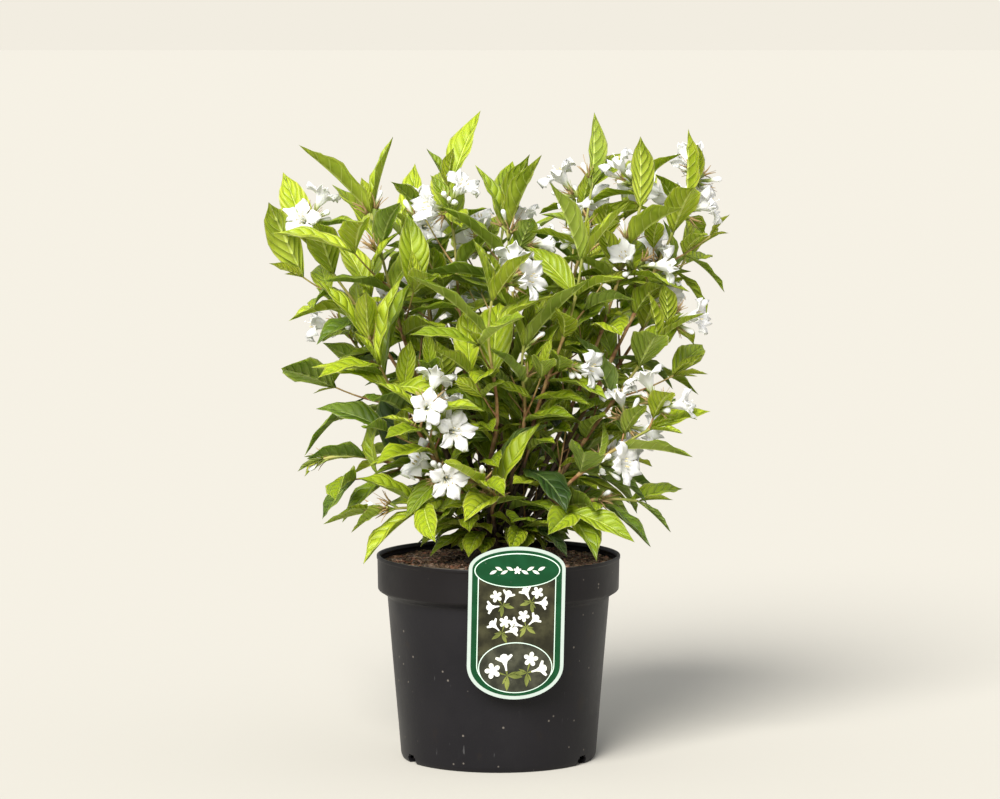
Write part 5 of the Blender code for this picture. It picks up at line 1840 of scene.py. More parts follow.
def leaf_template(name, rows, columns):
    """A closed thin leaf, one unit long and one wide, whose two halves are both arched."""
    across = [2.0 * j / columns - 1.0 for j in range(columns + 1)]
    verts, places, top, under = [], [], [], []
    for i in range(rows + 1):
        s = (i / rows) ** ROW_CROWDING
        rise = math.sin(math.pi * s)
        upper, lower = [], []
        for v in across:
            u = s + ROW_SWEEP * rise * v * v
            side = v * blade_half(u)
            lift = 0.0 if v == 0.0 or abs(v) == 1.0 else ARCH * rise
            upper.append(len(verts))
            verts.append(Vector((u, side, lift)))
            places.append((s, v * 0.5 + 0.5))
            if abs(v) == 1.0:
                lower.append(upper[-1])
                continue
            depth = LEAF_THICKNESS_SHARE * (MIDRIB_DEPTH if v == 0.0 else BLADE_DEPTH)
            lower.append(len(verts))
            verts.append(Vector((u, side, lift - depth * (0.0 if i == rows else 1.0))))
            places.append((s, v * 0.5 + 0.5))
        top.append(upper)
        under.append(lower)
    faces, slots = [], []
    for i in range(rows):
        for j in range(columns):
            faces.append((top[i][j], top[i + 1][j], top[i + 1][j + 1], top[i][j + 1]))
            faces.append((under[i][j], under[i][j + 1], under[i + 1][j + 1], under[i + 1][j]))
            slots += [0, 1]
    faces.append(tuple(top[0] + under[0][-2:0:-1]))
    slots.append(1)
    shape = bmesh.new()
    shape.from_mesh(mesh_of(name, verts, faces))
    layer = shape.loops.layers.uv.new("leaf")
    under_layer = shape.faces.layers.int.new("under")
    shape.faces.ensure_lookup_table()
    for face, slot in zip(shape.faces, slots):
        face[under_layer] = slot
        for loop in face.loops:
            loop[layer].uv = places[loop.vert.index]
    rim = {i for line in top for i in (line[0], line[-1])}
    ribs = {line[columns // 2] for line in top}
    for edge in shape.edges:
        ends = {edge.verts[0].index, edge.verts[1].index}
        if ends <= rim or ends <= ribs:
            edge.smooth = False
    bmesh.ops.remove_doubles(shape, verts=shape.verts, dist=WELD)
    bmesh.ops.recalc_face_normals(shape, faces=shape.faces)
    return make_object(name, mesh_from(name, shape))


LARGE_LEAF = leaf_template("large_leaf", *LARGE_CELLS)
SMALL_LEAF = leaf_template("small_leaf", *SMALL_CELLS)
print("a large leaf has", len(LARGE_LEAF.data.polygons), "faces, a small one",
      len(SMALL_LEAF.data.polygons))

# %% The tree that copies and bends the leaves
FOLD_SHARE = 0.75
LEAF_WAVE = 0.13
RIPPLES = 15.0
RIPPLE_OFFSET = 1.1
LEAST_DROOP = 3.0
SICKLE_SPREAD = 0.045
FULL_TURN = 6.28


def make_leaf_tree():
    """Copies a flat template to each point and bends it along the arc that the point asks for."""
    tree, start, end = nodes_tree("grow_leaves", [
        ("Template", OBJECT), ("Wave", NUMBER), ("Upper", MATERIAL), ("Under", MATERIAL)])
    shape = add(tree, "GeometryNodeObjectInfo", {"Object": start.outputs["Template"]})
    copies = add(tree, "GeometryNodeInstanceOnPoints", {
        "Points": start.outputs["Geometry"], "Instance": shape.outputs["Geometry"]})
    real = add(tree, "GeometryNodeRealizeInstances", {0: copies.outputs[0]})
    root, along, face = (named(tree, name, VECTOR_KIND) for name in ("root", "along", "face"))
    size, droop, phase = (named(tree, name) for name in ("size", "droop", "phase"))
    place = add(tree, "GeometryNodeInputPosition").outputs[0]
    u, share, lift = parts(tree, calc_vector(tree, "SUBTRACT", place, root))
    across = times(tree, share, named(tree, "breadth"))
    bend = times(tree, droop, u)
    arc = calc(tree, "DIVIDE", size, droop)
    ahead = times(tree, arc, calc(tree, "SINE", bend))
    drop = times(tree, arc, calc(tree, "SUBTRACT", calc(tree, "COSINE", bend), 1.0))
    normal = calc_vector(tree, "ADD", calc_vector(tree, "SCALE", face, calc(tree, "COSINE", bend)),
                         calc_vector(tree, "SCALE", along, calc(tree, "SINE", bend)))
    side = calc_vector(tree, "CROSS_PRODUCT", face, along)
    width = calc(tree, "ABSOLUTE", across)
    turn = scaled(tree, u, RIPPLES, scaled(tree, calc(tree, "SIGN", across), RIPPLE_OFFSET, phase))
    ripple = times(tree, calc(tree, "SINE", turn), width, start.outputs["Wave"])
    fold = named(tree, "fold")
    out = times(tree, across, calc(tree, "COSINE", fold), size)
    rise = scaled(tree, width, calc(tree, "SINE", fold), calc(tree, "ADD", lift, ripple))
    rise = times(tree, rise, size)
    sickle = times(tree, times(tree, u, u), times(tree, named(tree, "sickle"), size))
    sideways = calc(tree, "ADD", out, sickle)
    point = root
    for direction, distance in ((along, ahead), (face, drop), (side, sideways), (normal, rise)):
        point = calc_vector(tree, "ADD", point, calc_vector(tree, "SCALE", direction, distance))
    bent = add(tree, "GeometryNodeSetPosition", {0: real.outputs[0], "Position": point})
    upper = add(tree, "GeometryNodeSetMaterial", {0: bent.outputs[0], 2: start.outputs["Upper"]})
    below = calc(tree, "GREATER_THAN", named(tree, "under", "INT"), 0.5)
    last = add(tree, "GeometryNodeSetMaterial", {
        0: upper.outputs[0], 1: below, 2: start.outputs["Under"]})
    connect(tree, last.outputs[0], end.inputs[0])
    return tree


def leaf_points(leaves):
    """One point for each leaf, carrying what the tree needs to place and bend it."""
    mesh = bpy.data.meshes.new("leaf_points")
    mesh.from_pydata([tuple(leaf.root) for leaf in leaves], [], [])
    draw = random.Random("leaf waves")
    for name in ("root", "along", "face"):
        attribute(mesh, name, VECTOR_KIND, [tuple(getattr(leaf, name)) for leaf in leaves])
    attribute(mesh, "size", NUMBER_KIND, [leaf.length for leaf in leaves])
    attribute(mesh, "droop", NUMBER_KIND, [math.radians(max(leaf.droop, LEAST_DROOP)) for leaf in leaves])
    attribute(mesh, "breadth", NUMBER_KIND, [leaf.width for leaf in leaves])
    attribute(mesh, "fold", NUMBER_KIND, [math.radians(leaf.fold * FOLD_SHARE) for leaf in leaves])
    attribute(mesh, "sickle", NUMBER_KIND, [draw.gauss(0.0, SICKLE_SPREAD) for _ in leaves])
    attribute(mesh, "phase", NUMBER_KIND, [draw.uniform(0.0, FULL_TURN) for _ in leaves])
    attribute(mesh, "tone", NUMBER_KIND, [draw.uniform(0.0, 1.0) for _ in leaves])
    return mesh


LEAF_TREE = make_leaf_tree()
print("the leaf tree has", len(LEAF_TREE.nodes), "nodes")

# %% [markdown]
# ## The leaves' greens
# Sunlit weigela leaves run from a bright yellow green at the tips to a deep blue green low on the plant.
# The leaves are dealt out into a few shades by their age, their height and how far out and forward they
# stand: age gives their own colour, while the brighter shades at the top, outside and front of the crown
# and the darker ones low down are partly painted light and shade. Inside one leaf the midrib and side
# veins are paler; the paler margin is a painted highlight, and the grooves beside the side veins are
# darkened as painted shade.
# The pattern is worked out from the leaf's own coordinates, along it and across it, which every copy
# brings from the template, so it stays sharp where an image of a leaf would not.

# %% The finish of the leaves
VEIN_BANDS = 6.8
VEIN_SWEEP = 0.21
VEIN_CURVE = 1.35
LEAF_GLOSS = 0.43
LEAF_GLOW = {"Subsurface_Weight": 0.5, "Subsurface_Scale": 0.0016, "Subsurface_Radius": (0.8, 1.0, 0.3)}
# Where each mark starts and ends, by nearness to a side vein or by distance from the midrib, then how much
# Painted shade: the colour darkens towards each side vein, in the grooves of the quilting
GROOVE = (0.30, 0.85)
GROOVE_SHADE_STRENGTH = 0.50
VEIN_LINE = (0.86, 0.97)
VEIN_FADE = (1.0, 0.45)
VEIN_STRENGTH = 0.38
RIB = (0.09, 0.03)
RIB_STRENGTH = 0.75
# Painted highlight: the margin is lightened as light through and off the leaf's edge would show
MARGIN = (0.88, 1.0)
LIT_MARGIN_STRENGTH = 0.40
UNDER_LINE = (0.84, 0.97)
UNDER_LINE_STRENGTH = 0.50
UNDER_RIB = (0.11, 0.03)
UNDER_RIB_STRENGTH = 0.85
QUILT_DEPTH = (0.0006, 0.0008)
UNDER_DEPTH = 0.0012


def leaf_pattern(tree):
    """How far out a place lies from the midrib, and how near it is to a side vein."""
    along, across, _ = parts(tree, add(tree, "ShaderNodeUVMap", uv_map="leaf").outputs[0])
    spread = calc(tree, "ABSOLUTE", scaled(tree, across, 2.0, -1.0))
    swept = scaled(tree, calc(tree, "POWER", spread, VEIN_CURVE), -VEIN_SWEEP, along)
    band = calc(tree, "FRACT", times(tree, swept, VEIN_BANDS))
    near_vein = times(tree, calc(tree, "ABSOLUTE", calc(tree, "SUBTRACT", band, 0.5)), 2.0)
    return spread, near_vein


def leaf_finish(name, deep, bright, vein, veining):
    """The upper side: two greens by leaf, paler veins, a painted highlight at the margin and soft quilting.
    """
    made, tree, shader = finish("leaf_" + name, Specular_IOR_Level=0.36, **LEAF_GLOW)
    spread, near_vein = leaf_pattern(tree)
    clouds = use(tree, MOTTLE, First=deep, Second=bright, Scale=34.0, Low=0.40, High=0.62)
    colour = blend(tree, times(tree, carried(tree, "tone"), 0.8), clouds.outputs[0], bright)
    # painted shade in the grooves beside the side veins; the bulges between them stay bright
    groove_shade = times(tree, soft_step(tree, near_vein, *GROOVE), GROOVE_SHADE_STRENGTH * veining)
    colour = blend(tree, groove_shade, colour, deep)
    lines = times(tree, soft_step(tree, near_vein, *VEIN_LINE), soft_step(tree, spread, *VEIN_FADE))
    lines = times(tree, lines, VEIN_STRENGTH * veining)
    rib = soft_step(tree, spread, *RIB)
    pale = calc(tree, "MAXIMUM", lines, times(tree, rib, RIB_STRENGTH))
    # painted highlight along the margin
    margin = times(tree, soft_step(tree, spread, *MARGIN), LIT_MARGIN_STRENGTH)
    colour = blend(tree, calc(tree, "MAXIMUM", pale, margin), colour, vein)
    wear(tree, shader, colour, scaled(tree, clouds.outputs[1], 0.10, LEAF_GLOSS))
    swell = calc(tree, "SUBTRACT", 1.0, times(tree, near_vein, near_vein))
    height = scaled(tree, rib, -0.7, swell)
    height = scaled(tree, use(tree, GRAIN, Scale=420.0).outputs[0], 0.12, height)
    bump(tree, shader, height, QUILT_DEPTH[0] + QUILT_DEPTH[1] * veining, 0.9)
    return made


def underside_finish(name, colour, shade, vein):
    """The underside: paler and duller, with the veins standing out."""
    made, tree, shader = finish("under_" + name, Specular_IOR_Level=0.12, **LEAF_GLOW)
    spread, near_vein = leaf_pattern(tree)
    lines = times(tree, soft_step(tree, near_vein, *UNDER_LINE), UNDER_LINE_STRENGTH)
    rib = soft_step(tree, spread, *UNDER_RIB)
    mask = calc(tree, "MAXIMUM", lines, times(tree, rib, UNDER_RIB_STRENGTH))
    clouds = use(tree, MOTTLE, First=colour, Second=shade, Scale=42.0, Low=0.42, High=0.66)
    ground = blend(tree, times(tree, carried(tree, "tone"), 0.4), clouds.outputs[0], shade)
    wear(tree, shader, blend(tree, mask, ground, vein), scaled(tree, mask, -0.1, 0.62))
    bump(tree, shader, scaled(tree, rib, 0.5, times(tree, near_vein, near_vein)), UNDER_DEPTH)
    return made


print("finishes for both sides of a leaf, with", VEIN_BANDS, "side veins to a half")

# %% The shades and how they are dealt out
# The shades stand both for the leaves' age and for painted light and shade, as shade_of deals them out;
# the bright undersides of the young and light shades are a painted glow of light through the leaf
# Each shade: deep, bright and vein colour of the upper side, then colour, shade and vein colour of the
# underside
SHADES = {
    "young": ((0.249, 0.325, 0.011, 1), (0.406, 0.487, 0.024, 1), (0.673, 0.742, 0.205, 1),
              (0.406, 0.476, 0.043, 1), (0.278, 0.348, 0.019, 1), (0.673, 0.742, 0.205, 1)),
    "light": ((0.192, 0.264, 0.008, 1), (0.348, 0.432, 0.014, 1), (0.600, 0.684, 0.154, 1),
              (0.360, 0.432, 0.044, 1), (0.234, 0.306, 0.019, 1), (0.600, 0.684, 0.176, 1)),
    "fresh": ((0.151, 0.220, 0.007, 1), (0.284, 0.365, 0.011, 1), (0.529, 0.617, 0.124, 1),
              (0.334, 0.410, 0.066, 1), (0.208, 0.280, 0.031, 1), (0.554, 0.643, 0.169, 1)),
    "mid": ((0.107, 0.166, 0.006, 1), (0.208, 0.286, 0.010, 1), (0.416, 0.507, 0.103, 1),
            (0.299, 0.380, 0.081, 1), (0.179, 0.250, 0.039, 1), (0.494, 0.585, 0.172, 1)),
    "deep": ((0.057, 0.105, 0.007, 1), (0.121, 0.182, 0.012, 1), (0.297, 0.392, 0.094, 1),
             (0.243, 0.324, 0.082, 1), (0.135, 0.203, 0.042, 1), (0.432, 0.513, 0.153, 1)),
    "old": ((0.018, 0.044, 0.009, 1), (0.044, 0.081, 0.013, 1), (0.138, 0.201, 0.059, 1),
            (0.155, 0.213, 0.065, 1), (0.086, 0.129, 0.032, 1), (0.287, 0.356, 0.107, 1)),
}
VEINING = {"young": 0.85, "light": 0.64, "fresh": 0.54, "mid": 0.48, "deep": 0.42, "old": 0.42}
# The score below which a leaf has a shade; the rest are young
LIMITS = (("old", 0.10), ("deep", 0.24), ("mid", 0.38), ("fresh", 0.52), ("light", 0.66))
# Height and reach count partly for age, partly as painted light on the crown's top and outside
BY_HEIGHT = 0.28
BY_REACH = 0.20
BY_RANK = -0.045
# Painted light: leaves towards the front, where the key light falls, get brighter shades
FRONT_LIGHT = -0.10
SMALL_LENGTH = 0.035
SMALL_BONUS = 0.16
# Painted shade: some low outer leaves are dealt a darker shade by chance
LOW_HEIGHT = 0.45
LOW_ASIDE = 0.065
PAINTED_SHADE_CHANCE = 0.36
PAINTED_SHADE_LOSS = 0.24
CHANCE = (0.34, 0.14)
LARGE_FROM = 0.030


def shade_of(leaf, rank, draw):
    """Which shade a leaf has: the young, high and outer ones are bright, the low and old ones deep."""
    middle = leaf.root + leaf.along * (leaf.length * 0.5)
    height = (middle.z - POT_HEIGHT) / (CROWN_TOP - POT_HEIGHT)
    out = math.hypot(middle.x, middle.y) / crown_radius(min(middle.z, CROWN_TOP))
    # painted light on the front of the crown
    sunny = FRONT_LIGHT * middle.y / crown_radius(min(middle.z, CROWN_TOP))
    score = BY_HEIGHT * height + BY_REACH * out + BY_RANK * rank + sunny
    if leaf.length < SMALL_LENGTH:
        score += SMALL_BONUS
    # painted shade on some low outer leaves
    if height < LOW_HEIGHT and abs(middle.x) > LOW_ASIDE and draw.random() < PAINTED_SHADE_CHANCE:
        score -= PAINTED_SHADE_LOSS
    score += draw.gauss(*CHANCE)
    return next((name for name, limit in LIMITS if score < limit), "young")


print("shades of green:", list(SHADES))

# %% The leaves, shade by shade
groups = {name: {"large": [], "small": []} for name in SHADES}
draw = random.Random("shades")
for kind, leaf, rank, axis, _ in crown.grown:
    if kind == "leaf":
        size = "large" if leaf.length > LARGE_FROM else "small"
        groups[shade_of(leaf, rank, draw)][size].append(leaf)
for name, colours in SHADES.items():
    upper = leaf_finish(name, *colours[:3], VEINING[name])
    below = underside_finish(name, *colours[3:])
    for size, template in (("large", LARGE_LEAF), ("small", SMALL_LEAF)):
        leaves = groups[name][size]
        if leaves:
            piece = run_tree(f"leaves_{name}_{size}", leaf_points(leaves), LEAF_TREE, {
                "Template": template, "Wave": LEAF_WAVE, "Upper": upper, "Under": below})
            hand_over(piece, "foliage", *FOLIAGE)
for template in (LARGE_LEAF, SMALL_LEAF):
    bpy.data.objects.remove(template, do_unlink=True)

# %% [markdown]
# ## Twigs, boughs and the foot
# The old wood at the foot is grey brown with ridges, and the growth of the year is smooth and runs from
# red brown to a yellow green at the tips, with a swelling at each pair of leaves. Metaballs or a sculpt
# would need far more faces for that. Every limb is a line of points with a radius and an age. Geometry
# Nodes turns the lines into tubes and pushes the bark in and out along its own normals.

# %% The tree that makes the limbs
RIDGE_STRETCH = (1.0, 1.0, 0.22)


def make_limb_tree():
    """Turns lines with a radius into closed tubes with ridged bark."""
    tree, start, end = nodes_tree("limbs", [
        ("Sides", WHOLE), ("Bark", NUMBER), ("Scale", NUMBER), ("Finish", MATERIAL)])
    curves = add(tree, "GeometryNodeMeshToCurve", {0: start.outputs["Geometry"]})
    sized = add(tree, "GeometryNodeSetCurveRadius", {0: curves.outputs[0], "Radius": named(tree, "thick")})
    ring = add(tree, "GeometryNodeCurvePrimitiveCircle", {
        "Resolution": start.outputs["Sides"], "Radius": 1.0})
    tube = add(tree, "GeometryNodeCurveToMesh", {
        0: sized.outputs[0], 1: ring.outputs[0], "Fill Caps": True, "Scale": named(tree, "thick")})
    place = add(tree, "GeometryNodeInputPosition").outputs[0]
    stretched = calc_vector(tree, "MULTIPLY", place, RIDGE_STRETCH)
    ridges = calc(tree, "SUBTRACT", clouds_of(tree, stretched, start.outputs["Scale"], 3.0), 0.5)
    depth = times(tree, ridges, start.outputs["Bark"], named(tree, "thick"))
    push = calc_vector(tree, "SCALE", add(tree, "GeometryNodeInputNormal").outputs[0], depth)
    rough = add(tree, "GeometryNodeSetPosition", {0: tube.outputs[0], "Offset": push})
    rounded_off = add(tree, "GeometryNodeSetShadeSmooth", {0: rough.outputs[0]})
    real = add(tree, "GeometryNodeRealizeInstances", {0: rounded_off.outputs[0]})
    last = add(tree, "GeometryNodeSetMaterial", {0: real.outputs[0], 2: start.outputs["Finish"]})
    connect(tree, last.outputs[0], end.inputs[0])
    return tree


LIMBS = make_limb_tree()


def lines_mesh(strands):
    """A mesh of open lines; each strand is a list of (point, radius, age)."""
    verts, edges, radii, ages = [], [], [], []
    for strand in strands:
        for i, (point, radius, age) in enumerate(strand):
            if i:
                edges.append((len(verts) - 1, len(verts)))
            verts.append(tuple(point))
            radii.append(radius)
            ages.append(age)
    mesh = bpy.data.meshes.new("lines")
    mesh.from_pydata(verts, edges, [])
    attribute(mesh, "thick", NUMBER_KIND, radii)
    attribute(mesh, "age", NUMBER_KIND, ages)
    return mesh


# Old wood, this year's wood and its green tips: two colours, share of the ridges' scale, limits
WOODS = (
    ((0.052, 0.035, 0.026, 1), (0.130, 0.095, 0.070, 1), 1.0, 0.38, 0.66),
    ((0.25, 0.110, 0.050, 1), (0.42, 0.27, 0.11, 1), 0.8, 0.36, 0.64),
    ((0.26, 0.30, 0.055, 1), (0.38, 0.36, 0.10, 1), 0.5, 0.36, 0.64),
)
NEW_WOOD_AGE = (0.18, 0.55)
GREEN_WOOD_AGE = (0.60, 0.92)


def wood_finish(name, ridge_scale):
    """Bark by age: 0 is old grey-brown wood, 1 the green of the year's last growth."""
    made, tree, shader = finish(name, Specular_IOR_Level=0.3)
    age = carried(tree, "age")
    old, new, tip = (
        use(tree, MOTTLE, First=dark, Second=pale, Scale=ridge_scale * share, Low=low, High=high).outputs[0]
        for dark, pale, share, low, high in WOODS)
    colour = blend(tree, soft_step(tree, age, *NEW_WOOD_AGE), old, new)
    colour = blend(tree, soft_step(tree, age, *GREEN_WOOD_AGE), colour, tip)
    wear(tree, shader, colour, scaled(tree, age, -0.25, 0.80), ridge_scale * 4, 0.0005)
    return made


BARK = wood_finish("bark", 260.0)


NODE_SWELL = 0.38
NODE_SPREAD = 0.0028
TWIG_STEPS = 6
TWIG_END_SWELL = 1.25


def stem_strand(axis, first, last, step):
    """The line of a stem between two distances, swollen at its leaf nodes."""
    nodes = axis.nodes()
    count = max(3, math.ceil((last - first) / step))
    strand = []
    for i in range(count + 1):
        distance = first + (last - first) * i / count
        near = min((abs(distance - node) for node in nodes), default=1.0)
        swell = 1.0 + NODE_SWELL * math.exp(-((near / NODE_SPREAD) ** 2))
        age = distance / axis.length
        strand.append((axis.at(distance), axis.radius(distance) * swell, age))
    return strand


def twig_strand(twig, age):
    """The line of a side twig, smoothly bent through its three points."""
    first, middle, last = twig.points
    elbow = middle * 2 - (first + last) / 2
    strand = []
    for i in range(TWIG_STEPS + 1):
        t = i / TWIG_STEPS
        point = first * (1 - t) ** 2 + elbow * (2 * t * (1 - t)) + last * t * t
        radius = twig.radii[0] + (twig.radii[2] - twig.radii[0]) * t
        if i in (0, TWIG_STEPS):
            radius *= TWIG_END_SWELL
        strand.append((point, radius, age + (1.0 - age) * 0.5 * t))
    return strand


print("the limb tree has", len(LIMBS.nodes), "nodes")

# %% The boughs and the twigs
BOUGH_STEP = 0.004
STEM_STEP = 0.0035
TWIG_AGES = (0.40, 0.35)
bough_strands = []
twig_strands = []
for axis in axes:
    bare = axis.stem.bare * axis.length
    bough_strands.append(stem_strand(axis, 0.0, bare + GAP, BOUGH_STEP))
    twig_strands.append(stem_strand(axis, bare, axis.length, STEM_STEP))
for kind, twig, _, axis, _ in crown.grown:
    if kind == "twig":
        height = (twig.points[0].z - POT_HEIGHT) / (CROWN_TOP - POT_HEIGHT)
        twig_strands.append(twig_strand(twig, TWIG_AGES[0] + TWIG_AGES[1] * height))
boughs = run_tree("boughs", lines_mesh(bough_strands), LIMBS, {
    "Sides": 12, "Bark": 0.42, "Scale": 900.0, "Finish": BARK})
hand_over(boughs, "bark", *BOUGHS)
twigs = run_tree("twigs", lines_mesh(twig_strands), LIMBS, {
    "Sides": 7, "Bark": 0.10, "Scale": 700.0, "Finish": wood_finish("young_wood", 240.0)})
hand_over(twigs, "foliage", *FOLIAGE)

# %% [markdown]
# ## The woody foot
# Where the stems come together, a young shrub has a low swollen foot, flared at the soil, with a ridge
# running up to each outer stem. Another tube would be too regular. So it is a grid of points round the
# axis, whose radius is worked out from height and angle with a little noise for the knots.

# %% The woody foot
FOOT_ROWS = 14
FOOT_COLUMNS = 78
FLARE_CURVE = 2.4
RIDGE_DEPTH = 0.0011
KNOT_SCALE = 3
KNOT_DEPTH = 0.0016
CROWN_ROUGHNESS = (260, 0.0006)
# Rings that close the top: share of the radius and how far each stands up
TOP_RINGS = ((0.6, 0.0012), (0.25, 0.0006))


def make_foot():
    """The woody foot: flared where it meets the soil, with a ridge running up to each stem."""
    ground = SOIL_EDGE + SOIL_CROWN + GAP
    ridges = len([s for s in STEMS if s.ring == OUTER_RING])
    verts = []
    for i in range(FOOT_ROWS + 1):
        t = i / FOOT_ROWS
        flared = FOOT_RADIUS + (FOOT_FLARE - FOOT_RADIUS) * (1.0 - t) ** FLARE_CURVE
        for j in range(FOOT_COLUMNS):
            angle = 2 * math.pi * j / FOOT_COLUMNS
            x, y = math.cos(angle), math.sin(angle)
            swell = math.cos(ridges * angle) * RIDGE_DEPTH * (1.0 - abs(t - 0.5))
            knot = noise.noise(Vector((x, y, t)) * KNOT_SCALE) * KNOT_DEPTH
            radius = flared + swell + knot
            verts.append(Vector((radius * x, radius * y, ground + FOOT_HEIGHT * t)))
    rim = verts[-FOOT_COLUMNS:]
    scale, depth = CROWN_ROUGHNESS
    for share, lift in TOP_RINGS:
        for base in rim:
            bumpy = noise.noise(Vector((base.x * scale, base.y * scale, 2.0))) * depth
            verts.append(Vector((base.x * share, base.y * share, base.z + lift + bumpy)))
    rings = FOOT_ROWS + len(TOP_RINGS)
    faces = [face for i in range(rings) for face in ring_faces(i * FOOT_COLUMNS, FOOT_COLUMNS)]
    faces.append(tuple(rings * FOOT_COLUMNS + j for j in range(FOOT_COLUMNS)))
    faces.append(tuple(reversed(range(FOOT_COLUMNS))))
    mesh = mesh_of("foot", verts, faces)
    attribute(mesh, "age", NUMBER_KIND, [0.0] * len(verts))
    return make_object("foot", mesh, BARK)


hand_over(make_foot(), "bark", "stem_foot")

# %% [markdown]
# ## The blooms
# A weigela bloom is a trumpet: a green calyx with five narrow sepals, a tube that widens into a bell, and
# five rounded lobes that roll back. A sculpted bloom would be the best close up, but hundreds of them have
# to stay light. The petals are thin, so they are one sheet of points worked out from the angle and the
# distance along it, then given a thickness. Stamens and a style stand in the throat. A few variants, from
# bud to full bloom and spent calyx, are copied to the places that the growth rule found.

# %% A builder for small closed shapes
class Shape:
    """Collects closed parts with a reach value, 0 at the foot of the bloom and 1 at its lobes."""

    def __init__(self):
        self.verts, self.faces, self.slots, self.reach = [], [], [], []

    def add(self, verts, faces, slot, reach):
        """Adds a part; reach is one number for each of its points."""
        first = len(self.verts)
        self.verts += verts
        self.faces += [tuple(first + i for i in face) for face in faces]
        self.slots += [slot] * len(faces)
        self.reach += reach

    def mesh(self, name, finishes):
        """The finished mesh with its materials and its reach attribute."""
        made = mesh_of(name, self.verts, self.faces)
        for material in finishes:
            made.materials.append(material)
        made.polygons.foreach_set("material_index", self.slots)
        attribute(made, "reach", NUMBER_KIND, self.reach)
        return made


def thicken(verts, faces, depth):
    """Closes a sheet: a copy behind it, joined to it along every open edge."""
    normals = [Vector((0, 0, 0)) for _ in verts]
    for face in faces:
        a, b, c = (verts[i] for i in face[:3])
        push = (b - a).cross(c - a)
        for i in face:
            normals[i] += push
    back = [v - n.normalized() * depth for v, n in zip(verts, normals)]
    total = len(verts)
    edges = {(face[i], face[(i + 1) % len(face)]) for face in faces for i in range(len(face))}
    rims = [(b, a, a + total, b + total) for a, b in edges if (b, a) not in edges]
    behind = [tuple(i + total for i in reversed(face)) for face in faces]
    return verts + back, faces + behind + sorted(rims)


print("builders for thin closed shapes: Shape and thicken")

# %% The corolla
LOBES = 5
LOBE_COLUMNS = 6
LOBE_ROWS = 5
AROUND = LOBES * LOBE_COLUMNS
# Height and radius of the tube's rings
TUBE = ((0.0065, 0.0010), (0.0105, 0.0014), (0.0140, 0.0024), (0.0172, 0.0040), (0.0200, 0.0053))
TUBE_REACH = 0.55
CREASE = 0.06
BUD_WIDTH = 0.55
LOBE_FOOT_HALF = 0.0032
LOBE_HALF = 0.0064
LOBE_LENGTH = 0.0112
LOBE_SPREAD_AT = 0.55
LOBE_ROUNDING = 0.48
LOBE_SHORTER_SIDES = 0.24
LOBE_ROLL = (14, 62)
LOBE_ROLL_SHARES = (0.40, 0.60)
RUFFLES = 5
RUFFLE_DEPTH = 0.0016
LOBE_DISH = 0.0012


def corolla_tube(squeeze):
    """The tube's points, faces and reach values."""
    verts, reach = [], []
    for height, radius in TUBE:
        for j in range(AROUND):
            angle = 2 * math.pi * j / AROUND
            out = radius * squeeze * (1.0 + CREASE * math.cos(LOBES * angle))
            verts.append(Vector((height, out * math.cos(angle), out * math.sin(angle))))
            reach.append(TUBE_REACH * height / TUBE[-1][0])
    faces = [face for i in range(len(TUBE) - 1) for face in ring_faces(i * AROUND, AROUND)]
    return verts, faces, reach


def lobe_half(t, squeeze):
    """Half width of a lobe at a share of its length: it spreads at once and ends round."""
    spread = smooth(t, 0.0, LOBE_SPREAD_AT)
    half = LOBE_FOOT_HALF * squeeze * (1.0 - spread) + LOBE_HALF * spread
    return half * (1.0 - LOBE_ROUNDING * smooth(t, 0.5, 1.0))


def corolla(open_share, ruffle, seed):
    """The tube and the five lobes as one sheet; open_share is 1 in full bloom and a half when half open."""
    draw = random.Random(seed)
    phase = [draw.uniform(0, FULL_TURN) for _ in range(LOBES)]
    tilt = [draw.uniform(0.85, 1.15) for _ in range(LOBES)]
    squeeze = BUD_WIDTH + (1.0 - BUD_WIDTH) * open_share
    verts, faces, reach = corolla_tube(squeeze)
    throat = (len(TUBE) - 1) * AROUND
    base_height, base_radius = TUBE[-1]
    for lobe in range(LOBES):
        first = lobe * LOBE_COLUMNS - LOBE_COLUMNS // 2
        last = [throat + (first + c) % AROUND for c in range(LOBE_COLUMNS + 1)]
        centre = 2 * math.pi * lobe / LOBES
        for row in range(1, LOBE_ROWS + 1):
            t = row / LOBE_ROWS
            half = lobe_half(t, squeeze)
            roll = math.radians(LOBE_ROLL[0] + LOBE_ROLL[1] * open_share * tilt[lobe])
            roll *= LOBE_ROLL_SHARES[0] + LOBE_ROLL_SHARES[1] * t
            line = []
            for c in range(LOBE_COLUMNS + 1):
                w = 2 * c / LOBE_COLUMNS - 1
                length = LOBE_LENGTH * (1.0 - LOBE_SHORTER_SIDES * w * w * t)
                out = base_radius * squeeze + length * t * math.sin(roll)
                up = base_height + length * t * math.cos(roll)
                up += ruffle * math.sin(RUFFLES * w + phase[lobe]) * t * RUFFLE_DEPTH - LOBE_DISH * w * w * t
                side = w * half
                y = out * math.cos(centre) - side * math.sin(centre)
                z = out * math.sin(centre) + side * math.cos(centre)
                line.append(len(verts))
                verts.append(Vector((up, y, z)))
                reach.append(TUBE_REACH + (1.0 - TUBE_REACH) * t)
            for c in range(LOBE_COLUMNS):
                faces.append((last[c], last[c + 1], line[c + 1], line[c]))
            last = line
    return verts, faces, reach


print("a corolla has", len(corolla(1.0, 1.0, 1)[1]), "faces before it is thickened")

